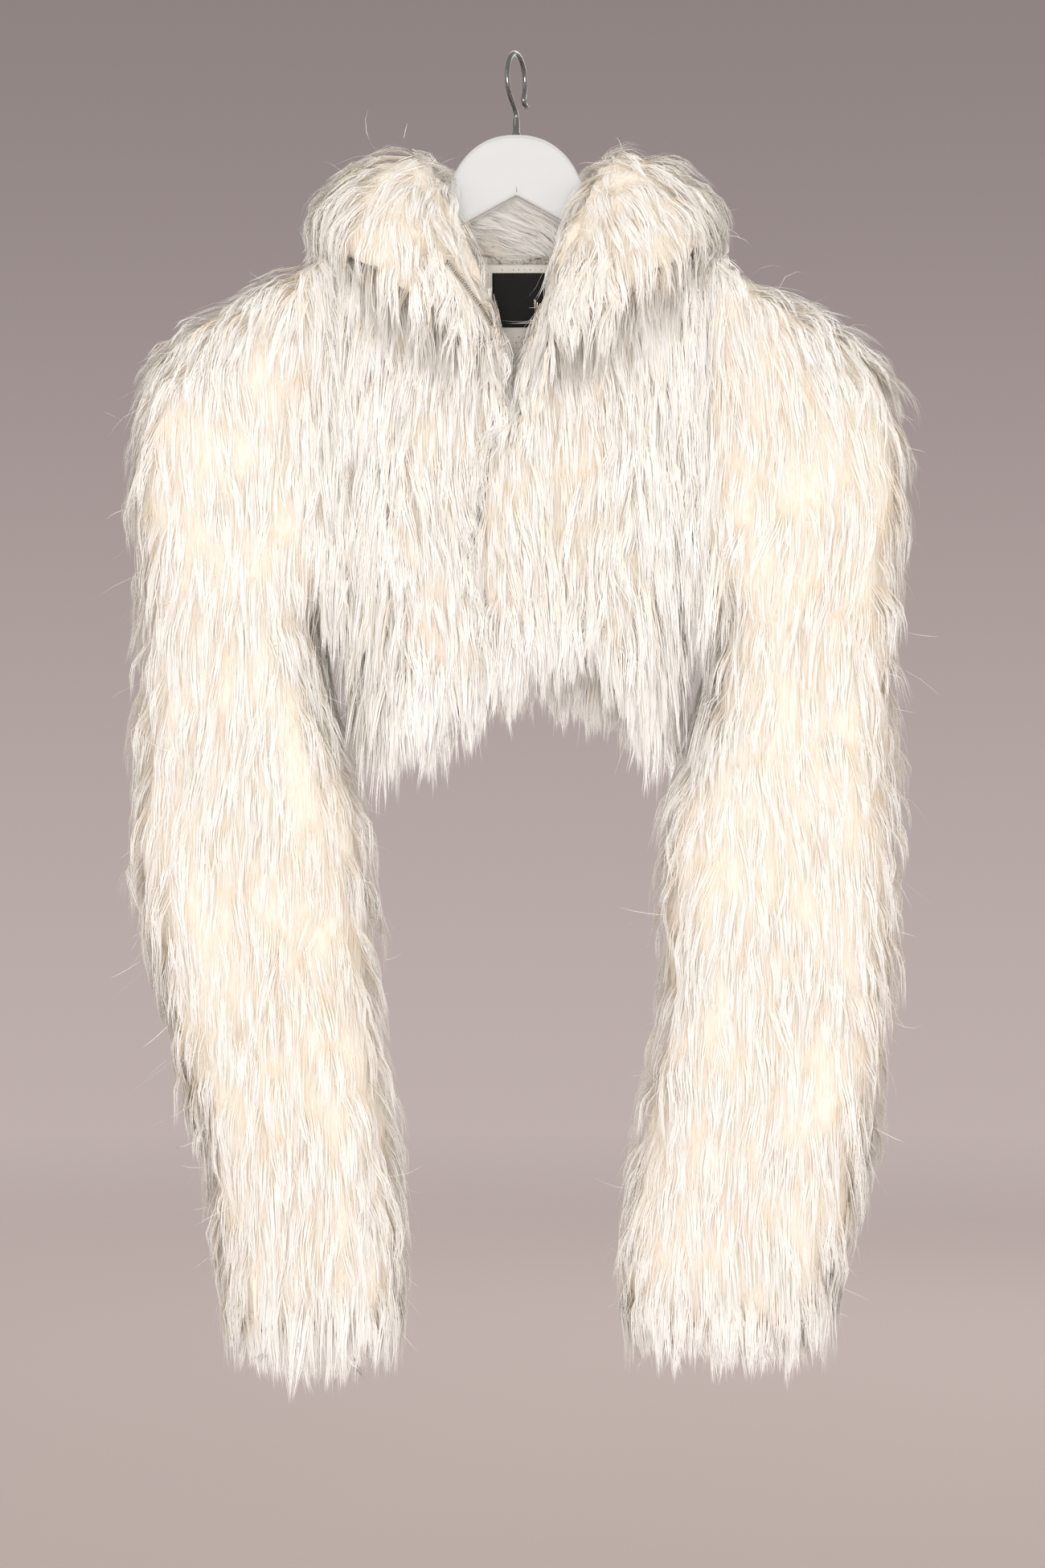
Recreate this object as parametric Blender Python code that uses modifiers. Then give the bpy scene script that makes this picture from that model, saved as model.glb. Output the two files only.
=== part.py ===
"""A cropped bolero of long shaggy fur, hung on a wooden hanger.

Metres, +Z up, the camera's side is -Y and the wearer's left is +X.
The origin is the inside top of the hanger's hook, where the whole thing hangs.

Every fur piece is a thick wall: its plain inner face is the cloth, and its outer
face is the outline of the pile.  The pile's free ends at hems and cuffs are rows
of separate locks, each row fused into a narrow strip below the wall's edge.
"""
import bpy
import bmesh
from collections import namedtuple
from math import cos, exp, hypot, pi, radians, sin, sqrt
from mathutils import Vector

# ------------------------------------------------------------ driving dimensions
SEAM_GAP = 0.0003            # between neighbouring pieces

# Hanger
BOARD_HALF_THICKNESS = 0.009
HEAD_TOP_Z = -0.060
ARM_START_X = 0.051          # where the head's arch runs into the arm
ARM_START_Z = -0.107
ARM_SLOPE = 0.60             # fall of an arm's upper edge
ARM_TIP_X = 0.222
VEE_APEX_Z = -0.105
VEE_SLOPE = 0.55             # fall of the board's lower edge
WIRE_RADIUS = 0.0019
HOOK_RADIUS = 0.0195         # of the wire's middle line
HOOK_TURN = radians(20)      # the hook's plane away from the view line
FERRULE_RADIUS = 0.0032
FERRULE_TOP_Z = -0.046

# Cloth and pile
CLOTH_ON_BOARD = 0.0015      # the cloth's inner face above the hanger's arm
RIDGE_PILE = 0.018           # pile pressed flat along the shoulder
PILE = 0.028                 # pile standing on the fronts, back and sleeves
ARMHOLE_X = {-1: 0.130, 1: 0.134}
ARMHOLE_HALF_DEPTH = 0.046
ARMHOLE_HOLLOW_HALF_DEPTH = 0.017
UNDERARM_Z = -0.413
SIDE_HEM_X = 0.117           # half width of the body at the hem
NECK_POINT_X = 0.078         # where the neckline meets the shoulder seam

# Zip
ZIP_X = -0.003
NOTCH_HALF_WIDTH = 0.0065    # room in the pile for the pull tab
NOTCH_TOP_Z = -0.238
NOTCH_FLOOR_Z = -0.274
SLIDER_Z = -0.2375
SLIDER_SIZE = (0.0084, 0.0038, 0.0115)
STAPLE_REACH = 0.0034        # of the staple that holds the pull, out from the slider
STAPLE_RISE = 0.0030         # half its height
STAPLE_BAR = 0.0010
TAPE_THICKNESS = 0.0008
TAPE_WIDTH = 0.0100
TAPE_FOOT_Z = -0.425
TAPE_CLEARANCE = 0.0006      # between a tape and what it lies on, or the other tape
OPEN_TAPE_ROWS = 5           # of the collar's rows, up from its front end
PULL_LENGTH = 0.0260         # from its axis to its lower end
PULL_WIDTH = 0.0056
PULL_THICKNESS = 0.0012
PULL_AXIS_REACH = 0.0012     # its axis in front of the slider's face

# Back neck
LINING_HALF_WIDTH = 0.050
LINING_TOP_Z = -0.1535
LINING_FOOT_Z = -0.232
LINING_THICKNESS = 0.0015
LABEL_LEFT_X = -0.0180
LABEL_RIGHT_X = 0.0216
LABEL_TOP_Z = -0.1600
LABEL_FOOT_Z = -0.2010
LABEL_THICKNESS = 0.0009

# Rows of locks
STRIP_HEIGHT = 0.0040
STRIP_DEPTH = 0.0110
STRIP_GAP = 0.0008
HEM_LOCK_PITCH = 0.0110
CUFF_LOCKS = 24
LOCK_SHARE = 0.80            # share of the pitch that a lock's root takes

# ------------------------------------------------------------------------ tables
DepthRow = namedtuple("DepthRow", "z hollow")
BODY_HOLLOW = [              # half depth of the space inside the body
    DepthRow(-0.100, 0.017),
    DepthRow(-0.200, 0.018),
    DepthRow(-0.300, 0.023),
    DepthRow(-0.400, 0.029),
    DepthRow(-0.500, 0.033),
]

EdgeRow = namedtuple("EdgeRow", "z x")
OVERLAP_LINE = [             # where the left front's pile ends over the right front
    EdgeRow(-0.280, -0.020),
    EdgeRow(-0.319, -0.029),
    EdgeRow(-0.367, -0.032),
    EdgeRow(-0.403, -0.031),
    EdgeRow(-0.439, -0.020),
    EdgeRow(-0.475, -0.014),
]

HemRow = namedtuple("HemRow", "x wall tip")
FRONT_HEM = [                # lower end of the wall and of the locks below it
    HemRow(-0.117, -0.500, -0.548),
    HemRow(-0.061, -0.498, -0.550),
    HemRow(-0.045, -0.487, -0.538),
    HemRow(-0.014, -0.464, -0.514),
    HemRow(0.010, -0.449, -0.500),
    HemRow(0.035, -0.440, -0.489),
    HemRow(0.060, -0.440, -0.488),
    HemRow(0.088, -0.482, -0.540),
    HemRow(0.117, -0.490, -0.546),
]
BACK_HEM = [
    HemRow(-0.117, -0.500, -0.545),
    HemRow(-0.070, -0.482, -0.530),
    HemRow(0.000, -0.458, -0.504),
    HemRow(0.070, -0.474, -0.520),
    HemRow(0.117, -0.490, -0.540),
]

NeckRow = namedtuple("NeckRow", "x z")
BACK_NECKLINE = [            # half of it, from the middle out to the neck point
    NeckRow(0.000, -0.152),
    NeckRow(0.040, -0.146),
    NeckRow(NECK_POINT_X, -0.1037),
]

FoldRow = namedtuple("FoldRow", "x width height")
FRONT_FOLDS = [              # soft ridges, and troughs where the height is negative
    FoldRow(-0.088, 0.016, 0.008),
    FoldRow(-0.052, 0.012, -0.005),
    FoldRow(0.000, 0.020, 0.007),
    FoldRow(0.036, 0.012, -0.005),
    FoldRow(0.072, 0.018, 0.009),
]
BACK_FOLDS = [
    FoldRow(-0.074, 0.018, 0.008),
    FoldRow(-0.020, 0.016, -0.005),
    FoldRow(0.028, 0.018, 0.007),
    FoldRow(0.084, 0.014, 0.006),
]
ARMHOLE_FADE = 0.055         # over which a panel's depth drops to the armhole's
TOP_SHARES = [0.0, 0.015, 0.05, 0.11, 0.19, 0.30, 0.43, 0.57, 0.72, 0.87, 1.0]
LOW_SHARES = [0.25, 0.5, 0.75, 1.0]
PILE_STEP = 0.0030           # how far the tiers of locks stand in or out

FanRow = namedtuple("FanRow", "angle reach pile depth hollow")
SLEEVE_HEAD = [              # rings that fan round the underarm, from seam to level
    FanRow(90, 0.2890, 0.0180, 0.046, 0.017),
    FanRow(76, 0.2600, 0.0180, 0.047, 0.017),
    FanRow(64, 0.2495, 0.0190, 0.048, 0.018),
    FanRow(54, 0.2400, 0.0240, 0.049, 0.020),
    FanRow(45, 0.2200, 0.0270, 0.050, 0.022),
    FanRow(34, 0.1900, 0.0280, 0.051, 0.023),
    FanRow(22, 0.1670, 0.0280, 0.052, 0.024),
    FanRow(10, 0.1560, 0.0280, 0.053, 0.024),
    FanRow(0, 0.1520, 0.0280, 0.053, 0.024),
]
FAN_CENTRE_Z = -0.425        # the fan turns about a point just below the underarm
FAN_INNER_RADIUS = 0.012
RIDGE_ANGLE = 60             # rings steeper than this lie over the hanger's arm
SLEEVE_SIDES = 24
FAN_STEPS = 9
DROP_STEPS = 15
SLEEVE_FOLD = 0.006          # height of the long fold down the front of a sleeve
SLEEVE_FOLD_WIDTH = 0.022

DropRow = namedtuple("DropRow", "z inner outer depth hollow y")
SLEEVE_DROP = {              # level rings down to the cuff; x away from the middle
    -1: [
        DropRow(-0.425, 0.1423, 0.2823, 0.053, 0.024, 0.000),
        DropRow(-0.470, 0.1400, 0.2840, 0.053, 0.024, 0.000),
        DropRow(-0.510, 0.1300, 0.2870, 0.054, 0.024, -0.001),
        DropRow(-0.560, 0.1110, 0.2880, 0.054, 0.024, -0.002),
        DropRow(-0.620, 0.1050, 0.2880, 0.053, 0.024, -0.004),
        DropRow(-0.680, 0.1040, 0.2730, 0.052, 0.023, -0.006),
        DropRow(-0.740, 0.0970, 0.2570, 0.051, 0.023, -0.008),
        DropRow(-0.800, 0.0900, 0.2400, 0.050, 0.022, -0.010),
        DropRow(-0.860, 0.0820, 0.2280, 0.049, 0.021, -0.011),
        DropRow(-0.910, 0.0800, 0.2220, 0.047, 0.020, -0.012),
        DropRow(-0.945, 0.0860, 0.2140, 0.043, 0.018, -0.012),
    ],
    1: [
        DropRow(-0.425, 0.1463, 0.2863, 0.053, 0.024, 0.000),
        DropRow(-0.470, 0.1410, 0.2840, 0.053, 0.024, 0.000),
        DropRow(-0.510, 0.1290, 0.2850, 0.054, 0.024, -0.001),
        DropRow(-0.560, 0.1090, 0.2860, 0.054, 0.024, -0.002),
        DropRow(-0.620, 0.1050, 0.2880, 0.053, 0.024, -0.004),
        DropRow(-0.680, 0.1090, 0.2840, 0.052, 0.023, -0.006),
        DropRow(-0.740, 0.1010, 0.2760, 0.051, 0.023, -0.008),
        DropRow(-0.800, 0.0900, 0.2670, 0.050, 0.022, -0.010),
        DropRow(-0.860, 0.0780, 0.2580, 0.049, 0.021, -0.011),
        DropRow(-0.910, 0.0740, 0.2430, 0.047, 0.020, -0.012),
        DropRow(-0.945, 0.0830, 0.2310, 0.043, 0.018, -0.012),
    ],
}
CUFF_TIP_Z = {-1: -1.006, 1: -0.991}

CollarRow = namedtuple("CollarRow", "x y turn half_width foot top")
# One side of the collar from its front end round to the middle of the back.
# x and y place the section, turn is its outward direction (0 is the front, 90 the
# side, 180 the back), foot and top are its lowest and highest levels.
COLLAR_SIDE = [
    CollarRow(0.0140, -0.040, 0, 0.012, -0.232, -0.207),
    CollarRow(0.0240, -0.048, 10, 0.018, -0.226, -0.180),
    CollarRow(0.0410, -0.056, 24, 0.027, -0.212, -0.142),
    CollarRow(0.0650, -0.057, 44, 0.035, -0.194, -0.104),
    CollarRow(0.090, -0.042, 62, 0.041, -0.172, -0.080),
    CollarRow(0.103, -0.016, 80, 0.046, -0.158, -0.070),
    CollarRow(0.103, 0.014, 98, 0.046, -0.158, -0.071),
    CollarRow(0.090, 0.040, 118, 0.042, -0.166, -0.077),
    CollarRow(0.066, 0.057, 142, 0.036, -0.178, -0.083),
    CollarRow(0.034, 0.064, 162, 0.032, -0.184, -0.087),
    CollarRow(0.000, 0.066, 180, 0.031, -0.186, -0.089),
]
COLLAR_SHEAR = 0.50          # how far the ridge leans in over the foot
COLLAR_SINK = 0.007          # how far the uncut roll reaches into the shoulders
NECK_LIFT = 0.0008           # and how far it stays above the neckline
COLLAR_GAP = 0.0006          # cut round the panels so that even their corners stay clear


# ---------------------------------------------------------------- small helpers
def clear_scene():
    for item in list(bpy.data.objects):
        bpy.data.objects.remove(item)


def lookup(table, key, value):
    """The table's row at one value of its key column, other columns in proportion."""
    rows = sorted(table, key=lambda row: getattr(row, key))
    if value <= getattr(rows[0], key):
        return rows[0]
    for low, high in zip(rows, rows[1:]):
        start, end = getattr(low, key), getattr(high, key)
        if value <= end:
            share = (value - start) / (end - start)
            return type(low)(*(a + (b - a) * share for a, b in zip(low, high)))
    return rows[-1]


def smooth(value):
    value = min(max(value, 0.0), 1.0)
    return value * value * (3 - 2 * value)


def quarter_round(distance, radius):
    """Height, as a share, of a quarter circle that rises from an edge."""
    if distance >= radius:
        return 1.0
    return sqrt(max(0.0, 1 - (1 - max(distance, 0.0) / radius) ** 2))


def make_material(name, colour, roughness, metallic=0.0):
    material = bpy.data.materials.new(name)
    material.use_nodes = True
    shader = material.node_tree.nodes["Principled BSDF"]
    shader.inputs["Base Color"].default_value = (*colour, 1)
    shader.inputs["Roughness"].default_value = roughness
    shader.inputs["Metallic"].default_value = metallic
    return material


def add_mesh(name, build, material, collection):
    """One named object from a bmesh that the function `build` fills."""
    work = bmesh.new()
    build(work)
    bmesh.ops.recalc_face_normals(work, faces=work.faces)
    bmesh.ops.triangulate(work, faces=work.faces)
    mesh = bpy.data.meshes.new(name)
    work.to_mesh(mesh)
    work.free()
    mesh.materials.append(material)
    item = bpy.data.objects.new(name, mesh)
    collection.objects.link(item)
    return item


def bridge_rows(work, rows, closed):
    """Quads between neighbouring rows of vertices."""
    for upper, lower in zip(rows, rows[1:]):
        count = len(upper)
        for here in range(count if closed else count - 1):
            there = (here + 1) % count
            work.faces.new((upper[here], upper[there], lower[there], lower[here]))


def wall_tube(outer, inner):
    """A tube wall between two stacks of rings, open at both ends."""
    def build(work):
        outside = [[work.verts.new(point) for point in ring] for ring in outer]
        inside = [[work.verts.new(point) for point in ring] for ring in inner]
        bridge_rows(work, outside, closed=True)
        bridge_rows(work, inside, closed=True)
        bridge_rows(work, [outside[0], inside[0]], closed=True)
        bridge_rows(work, [outside[-1], inside[-1]], closed=True)
    return build


def wall_sheet(outer, inner):
    """A panel wall between two grids of points that have the same rows and columns."""
    def build(work):
        outside = [[work.verts.new(point) for point in row] for row in outer]
        inside = [[work.verts.new(point) for point in row] for row in inner]
        bridge_rows(work, outside, closed=False)
        bridge_rows(work, inside, closed=False)
        bridge_rows(work, [outside[0], inside[0]], closed=False)
        bridge_rows(work, [outside[-1], inside[-1]], closed=False)
        for column in (0, -1):
            edge_out = [row[column] for row in outside]
            edge_in = [row[column] for row in inside]
            bridge_rows(work, [edge_out, edge_in], closed=False)
    return build


def solid_loft(sections):
    """A solid through closed sections, with its two ends capped."""
    def build(work):
        rings = [[work.verts.new(point) for point in section] for section in sections]
        bridge_rows(work, rings, closed=True)
        work.faces.new(rings[0])
        work.faces.new(rings[-1])
    return build


def slot_outline(half_width, half_depth, sides):
    """Points (across, depth) round a slot shape with half-round ends."""
    end_points = sides // 4 + 1
    run_points = (sides - 2 * end_points) // 2
    straight = max(half_width - half_depth, 0.0)
    points = []
    for end in (1, -1):
        for step in range(end_points):
            angle = pi * step / (end_points - 1) - pi / 2
            points.append((end * (straight + half_depth * cos(angle)), end * half_depth * sin(angle)))
        for step in range(1, run_points + 1):
            share = step / (run_points + 1)
            points.append((end * straight * (1 - 2 * share), end * half_depth))
    return points


# ----------------------------------------------------------------------- hanger
def board_top(x):
    """Upper edge of the hanger board: a round head that runs into straight arms."""
    x = abs(x)
    if x >= ARM_START_X:
        return ARM_START_Z - ARM_SLOPE * (x - ARM_START_X)
    share = x / ARM_START_X
    return ARM_START_Z + (HEAD_TOP_Z - ARM_START_Z) * (1 - share ** 2.3) ** 0.62


def board_bottom(x):
    return VEE_APEX_Z - VEE_SLOPE * abs(x)


def build_hanger_board(material, collection):
    """Sections across the board, from tip to tip, with rounded edges."""
    sides = 12
    half = [0.000, 0.012, 0.024, 0.034, 0.042, 0.047, 0.050, 0.054, 0.075, 0.110, 0.150, 0.190, 0.208]
    stations = [-x for x in reversed(half)] + half[1:]
    sections = []
    for x in stations:
        top, bottom = board_top(x), board_bottom(x)
        middle, half_height = (top + bottom) / 2, (top - bottom) / 2
        outline = slot_outline(half_height, BOARD_HALF_THICKNESS, sides)
        sections.append([(x, depth, middle + across) for across, depth in outline])
    for side in (-1, 1):
        tip = []
        for reach, size in ((0.60, 0.86), (0.90, 0.55), (1.00, 0.22)):
            x = side * (half[-1] + (ARM_TIP_X - half[-1]) * reach)
            middle = (board_top(x) + board_bottom(x)) / 2
            half_height = (board_top(x) - board_bottom(x)) / 2 * size
            outline = slot_outline(half_height, BOARD_HALF_THICKNESS * size, sides)
            tip.append([(x, depth, middle + across) for across, depth in outline])
        sections = sections + tip if side > 0 else tip[::-1] + sections
    return add_mesh("hanger_board", solid_loft(sections), material, collection)


def build_hook(material, collection):
    """A bent wire: up from the ferrule, round one side, over the top and down."""
    points = [(0.0, FERRULE_TOP_Z + SEAM_GAP), (0.0, -0.0435), (-0.0030, -0.0400)]
    start, end, steps = 222, -38, 20
    centre = WIRE_RADIUS - HOOK_RADIUS
    for step in range(steps + 1):
        angle = radians(start + (end - start) * step / steps)
        points.append((HOOK_RADIUS * cos(angle), centre + HOOK_RADIUS * sin(angle)))
    points += [(0.0175, -0.0325), (0.0210, -0.0340), (0.0240, -0.0325)]
    curve = bpy.data.curves.new("hanger_hook", "CURVE")
    curve.dimensions = "3D"
    curve.bevel_depth = WIRE_RADIUS
    curve.bevel_resolution = 2
    curve.use_fill_caps = True
    spline = curve.splines.new("POLY")
    spline.points.add(len(points) - 1)
    for knot, (along, z) in zip(spline.points, points):
        knot.co = (along * sin(HOOK_TURN), along * cos(HOOK_TURN), z, 1)
    hook = bpy.data.objects.new("hanger_hook", curve)
    hook.data.materials.append(material)
    weld = hook.modifiers.new("weld caps", "WELD")
    weld.merge_threshold = 0.00001
    collection.objects.link(hook)
    return hook


def build_ferrule(material, collection):
    bottom = HEAD_TOP_Z + SEAM_GAP
    height = FERRULE_TOP_Z - bottom

    def build(work):
        bmesh.ops.create_cone(work, cap_ends=True, segments=16, radius1=FERRULE_RADIUS,
                              radius2=FERRULE_RADIUS * 0.72, depth=height)
    ferrule = add_mesh("hanger_ferrule", build, material, collection)
    ferrule.location = (0, 0, bottom + height / 2)
    return ferrule


# ------------------------------------------------------------------ body panels
def ridge_outer(x):
    return board_top(max(abs(x), ARM_START_X)) + CLOTH_ON_BOARD + RIDGE_PILE


def ridge_inner(x):
    return board_top(max(abs(x), ARM_START_X)) + CLOTH_ON_BOARD


def side_x(z, side):
    """Half width of the body: level with the armhole, then in towards the hem."""
    below = min(max((UNDERARM_Z - z) / 0.085, 0.0), 1.0)
    return ARMHOLE_X[side] + (SIDE_HEM_X - ARMHOLE_X[side]) * below


def edge_distance(x, z, side):
    """Distance in from the side seam, or from the underarm above it."""
    return hypot(side_x(z, side) - abs(x), max(0.0, z - UNDERARM_Z))


def body_depth(x, z, side, face):
    """Half depth of the body's outer face: plain pile plus its soft folds."""
    hollow = lookup(BODY_HOLLOW, "z", z).hollow
    inward = smooth((ARMHOLE_X[side] - abs(x)) / ARMHOLE_FADE)
    full = ARMHOLE_HALF_DEPTH + (hollow + PILE - ARMHOLE_HALF_DEPTH) * inward
    folds = FRONT_FOLDS if face < 0 else BACK_FOLDS
    fall = smooth((-0.20 - z) / 0.16)
    for fold in folds:
        full += fold.height * inward * fall * exp(-((x - fold.x) / fold.width) ** 2)
    return full


def outer_y(x, z, side, face):
    depth = body_depth(x, z, side, face)
    rise = quarter_round(ridge_outer(x) - z, depth)
    rise *= quarter_round(edge_distance(x, z, side), depth)
    return face * (SEAM_GAP / 2 + depth * rise)


def inner_y(x, z, side, face):
    hollow = lookup(BODY_HOLLOW, "z", z).hollow
    inward = smooth((ARMHOLE_X[side] - abs(x)) / ARMHOLE_FADE)
    depth = ARMHOLE_HOLLOW_HALF_DEPTH + (hollow - ARMHOLE_HOLLOW_HALF_DEPTH) * inward
    rise = quarter_round(ridge_inner(x) - z, depth)
    rise *= quarter_round(edge_distance(x, z, side) - PILE, depth)
    least = BOARD_HALF_THICKNESS + 0.003 if abs(x) < NECK_POINT_X - 0.001 else 0.0
    return face * max(SEAM_GAP / 2 + depth * rise, least)


def lock_relief(column, row):
    """Staggered tiers of locks: neighbours stand in and out by turns."""
    rise = 1.0 if row % 2 else 0.45
    return PILE_STEP * rise * (1 if (column + row // 2) % 2 else -1)


def panel_rows(columns, top_z, hem_z, across, side_of, face):
    """Outer and inner grids of one panel.

    columns are shares from 0 at the first edge to 1 at the last, across(share, z)
    gives x, top_z(x) and hem_z(x) the ends of a column, side_of(share) its side.
    """
    levels = [(share, 0.0) for share in TOP_SHARES] + [(1.0, share) for share in LOW_SHARES]
    outer, inner = [], []
    for number, (down, below) in enumerate(levels):
        outer_row, inner_row = [], []
        for index, column in enumerate(columns):
            side = side_of(column)
            top_x = across(column, NOTCH_TOP_Z)
            seam = column in (0.0, 1.0) and abs(top_x) > ARMHOLE_X[side] - 0.001
            hem = hem_z(across(column, -0.46))
            middle = UNDERARM_Z
            start = top_z(top_x, False)
            z = start + (middle - start) * down + (hem - middle) * below
            x = across(column, z)
            y = outer_y(x, z, side, face)
            plain = seam or number in (0, len(levels) - 1) or column in (0.0, 1.0)
            if not plain:
                y += face * lock_relief(index, number) * smooth(abs(y) / 0.03) * smooth(down / 0.25)
            outer_row.append((x, y, z))
            start = top_z(top_x, True)
            lift = PILE * smooth(1 - (ARMHOLE_X[side] - abs(top_x)) / 0.04) * (1 - below)
            z = start + (middle + lift - start) * down + (hem - middle - lift) * below
            x = across(column, z)
            if seam and below > 0:
                x = (1 if x > 0 else -1) * (side_x(z, side) - PILE)
            elif below > 0:
                limit = side_x(z, side) - PILE - 0.0015 * (ARMHOLE_X[side] - abs(top_x)) / 0.004
                x = max(-limit, min(limit, x)) if abs(x) > limit else x
            inner_row.append((x, inner_y(x, z, side, face), z))
        outer.append(outer_row)
        inner.append(inner_row)
    return outer, inner


def front_edge(side, z):
    """The centre-front edge of one front: neck notch, then the overlap line."""
    notch = ZIP_X + side * NOTCH_HALF_WIDTH
    meet = lookup(OVERLAP_LINE, "z", z).x + side * SEAM_GAP / 2
    return notch + (meet - notch) * min(max((NOTCH_FLOOR_Z - z) / 0.006, 0.0), 1.0)


def front_columns(side):
    inner_x = abs(front_edge(side, NOTCH_TOP_Z))
    arm = ARMHOLE_X[side]
    stops = [arm, arm - 0.004, arm - 0.012, arm - 0.024, arm - 0.038, NECK_POINT_X]
    stops += [0.074, 0.066, 0.054, 0.040, 0.025, inner_x]
    span = arm + (-side) * front_edge(side, NOTCH_TOP_Z)
    return [(arm - stop) / span if stop != inner_x else 1.0 for stop in stops]


def build_front(side, material, collection):
    edge_top = front_edge(side, NOTCH_TOP_Z)
    slope = (ridge_outer(NECK_POINT_X) - NOTCH_TOP_Z) / (NECK_POINT_X - abs(edge_top))

    def across(share, z):
        outer_edge = side * side_x(z, side)
        return outer_edge + (front_edge(side, max(z, -0.48)) - outer_edge) * share

    def top_z(x, inside):
        if abs(x) >= NECK_POINT_X - 1e-6:
            return ridge_inner(x) if inside else ridge_outer(x)
        line = ridge_outer(NECK_POINT_X) - slope * (NECK_POINT_X - abs(x))
        return min(line, ridge_inner(x)) if inside else line

    def hem_z(x):
        return lookup(FRONT_HEM, "x", x).wall

    outer, inner = panel_rows(front_columns(side), top_z, hem_z, across, lambda share: side, -1)
    name = "front_left" if side > 0 else "front_right"
    front = add_mesh(name, wall_sheet(outer, inner), material, collection)
    return front, hem_line(outer, inner)


def build_back(material, collection):
    stops = [0.0, 0.018, 0.040, 0.058, 0.070, NECK_POINT_X]
    right = [-x for x in (ARMHOLE_X[-1], 0.126, 0.118, 0.106, 0.092)]
    left = [0.092, 0.106, 0.122, 0.130, ARMHOLE_X[1]]
    xs = right + [-x for x in reversed(stops)] + stops[1:] + left
    low, span = -ARMHOLE_X[-1], ARMHOLE_X[1] + ARMHOLE_X[-1]
    columns = [(x - low) / span for x in xs]
    columns[0], columns[-1] = 0.0, 1.0

    def across(share, z):
        start, end = -side_x(z, -1), side_x(z, 1)
        return start + (end - start) * share

    def side_of(share):
        return 1 if low + span * share > 0 else -1

    def top_z(x, inside):
        if abs(x) >= NECK_POINT_X - 1e-6:
            return ridge_inner(x) if inside else ridge_outer(x)
        line = lookup(BACK_NECKLINE, "x", abs(x)).z
        return min(line, ridge_inner(x)) if inside else line

    def hem_z(x):
        return lookup(BACK_HEM, "x", x).wall

    outer, inner = panel_rows(columns, top_z, hem_z, across, side_of, 1)
    back = add_mesh("back", wall_sheet(outer, inner), material, collection)
    return back, hem_line(outer, inner)


HemPoint = namedtuple("HemPoint", "x y z")


def hem_line(outer, inner):
    """Middle of a panel's lower edge."""
    return [HemPoint(*((a + b) / 2 for a, b in zip(*pair))) for pair in zip(outer[-1], inner[-1])]


# ---------------------------------------------------------------------- sleeves
def sleeve_ring(centre, along, half_width, half_depth, y, row, relief, fan=False):
    """One ring in the plane of `along` (a direction in XZ) and Y.

    In the fan the rings crowd together at the underarm, so the relief fades there.
    """
    ring = []
    for column, (across, depth) in enumerate(slot_outline(half_width, half_depth, SLEEVE_SIDES)):
        outward = Vector((across / half_width, depth / half_depth)).normalized()
        push = lock_relief(column, row) if relief else 0.0
        fade = smooth(0.5 + 0.9 * across / half_width) if fan else 1.0
        push *= fade
        if relief and depth < -0.5 * half_depth:
            depth += SLEEVE_FOLD * fade * exp(-((across - 0.2 * half_width) / SLEEVE_FOLD_WIDTH) ** 2)
        a = across + push * outward.x
        ring.append((centre.x + along.x * a, y + depth + push * outward.y, centre.z + along.z * a))
    return ring


def sleeve_rings(side):
    """Outer and inner rings, from the armhole seam over the shoulder to the cuff."""
    outer, inner = [], []
    pivot = Vector((side * (ARMHOLE_X[side] + SEAM_GAP), 0, FAN_CENTRE_Z))
    for step in range(FAN_STEPS + 1):
        row = lookup(SLEEVE_HEAD, "angle", 90 - 90 * step / (FAN_STEPS + 1))
        angle = radians(row.angle)
        along = Vector((side * cos(angle), 0, sin(angle)))
        steep = sin(angle) + ARM_SLOPE * cos(angle)
        reach = row.reach
        if row.angle > RIDGE_ANGLE:
            reach = (ridge_outer(pivot.x) - pivot.z) / steep
        ends = (FAN_INNER_RADIUS, reach)
        centre = pivot + along * (sum(ends) / 2)
        half = (ends[1] - ends[0]) / 2
        outer.append(sleeve_ring(centre, along, half, row.depth, 0, step, step > 0, fan=True))
        pile = row.pile / steep if row.angle > RIDGE_ANGLE else row.pile
        ends = (FAN_INNER_RADIUS + PILE, reach - pile)
        centre = pivot + along * (sum(ends) / 2)
        half = (ends[1] - ends[0]) / 2
        inner.append(sleeve_ring(centre, along, half, row.hollow, 0, step, False))
    table = SLEEVE_DROP[side]
    along = Vector((side, 0, 0))
    for step in range(DROP_STEPS + 1):
        z = table[0].z + (table[-1].z - table[0].z) * step / DROP_STEPS
        row = lookup(table, "z", z)
        centre = Vector((side * (row.inner + row.outer) / 2, 0, z))
        half = (row.outer - row.inner) / 2
        relief = step < DROP_STEPS
        outer.append(sleeve_ring(centre, along, half, row.depth, row.y, FAN_STEPS + 1 + step, relief))
        inner.append(sleeve_ring(centre, along, half - PILE, row.hollow, row.y, 0, False))
    return outer, inner


def build_sleeve(side, material, collection):
    outer, inner = sleeve_rings(side)
    name = "sleeve_left" if side > 0 else "sleeve_right"
    return add_mesh(name, wall_tube(outer, inner), material, collection)


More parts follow.
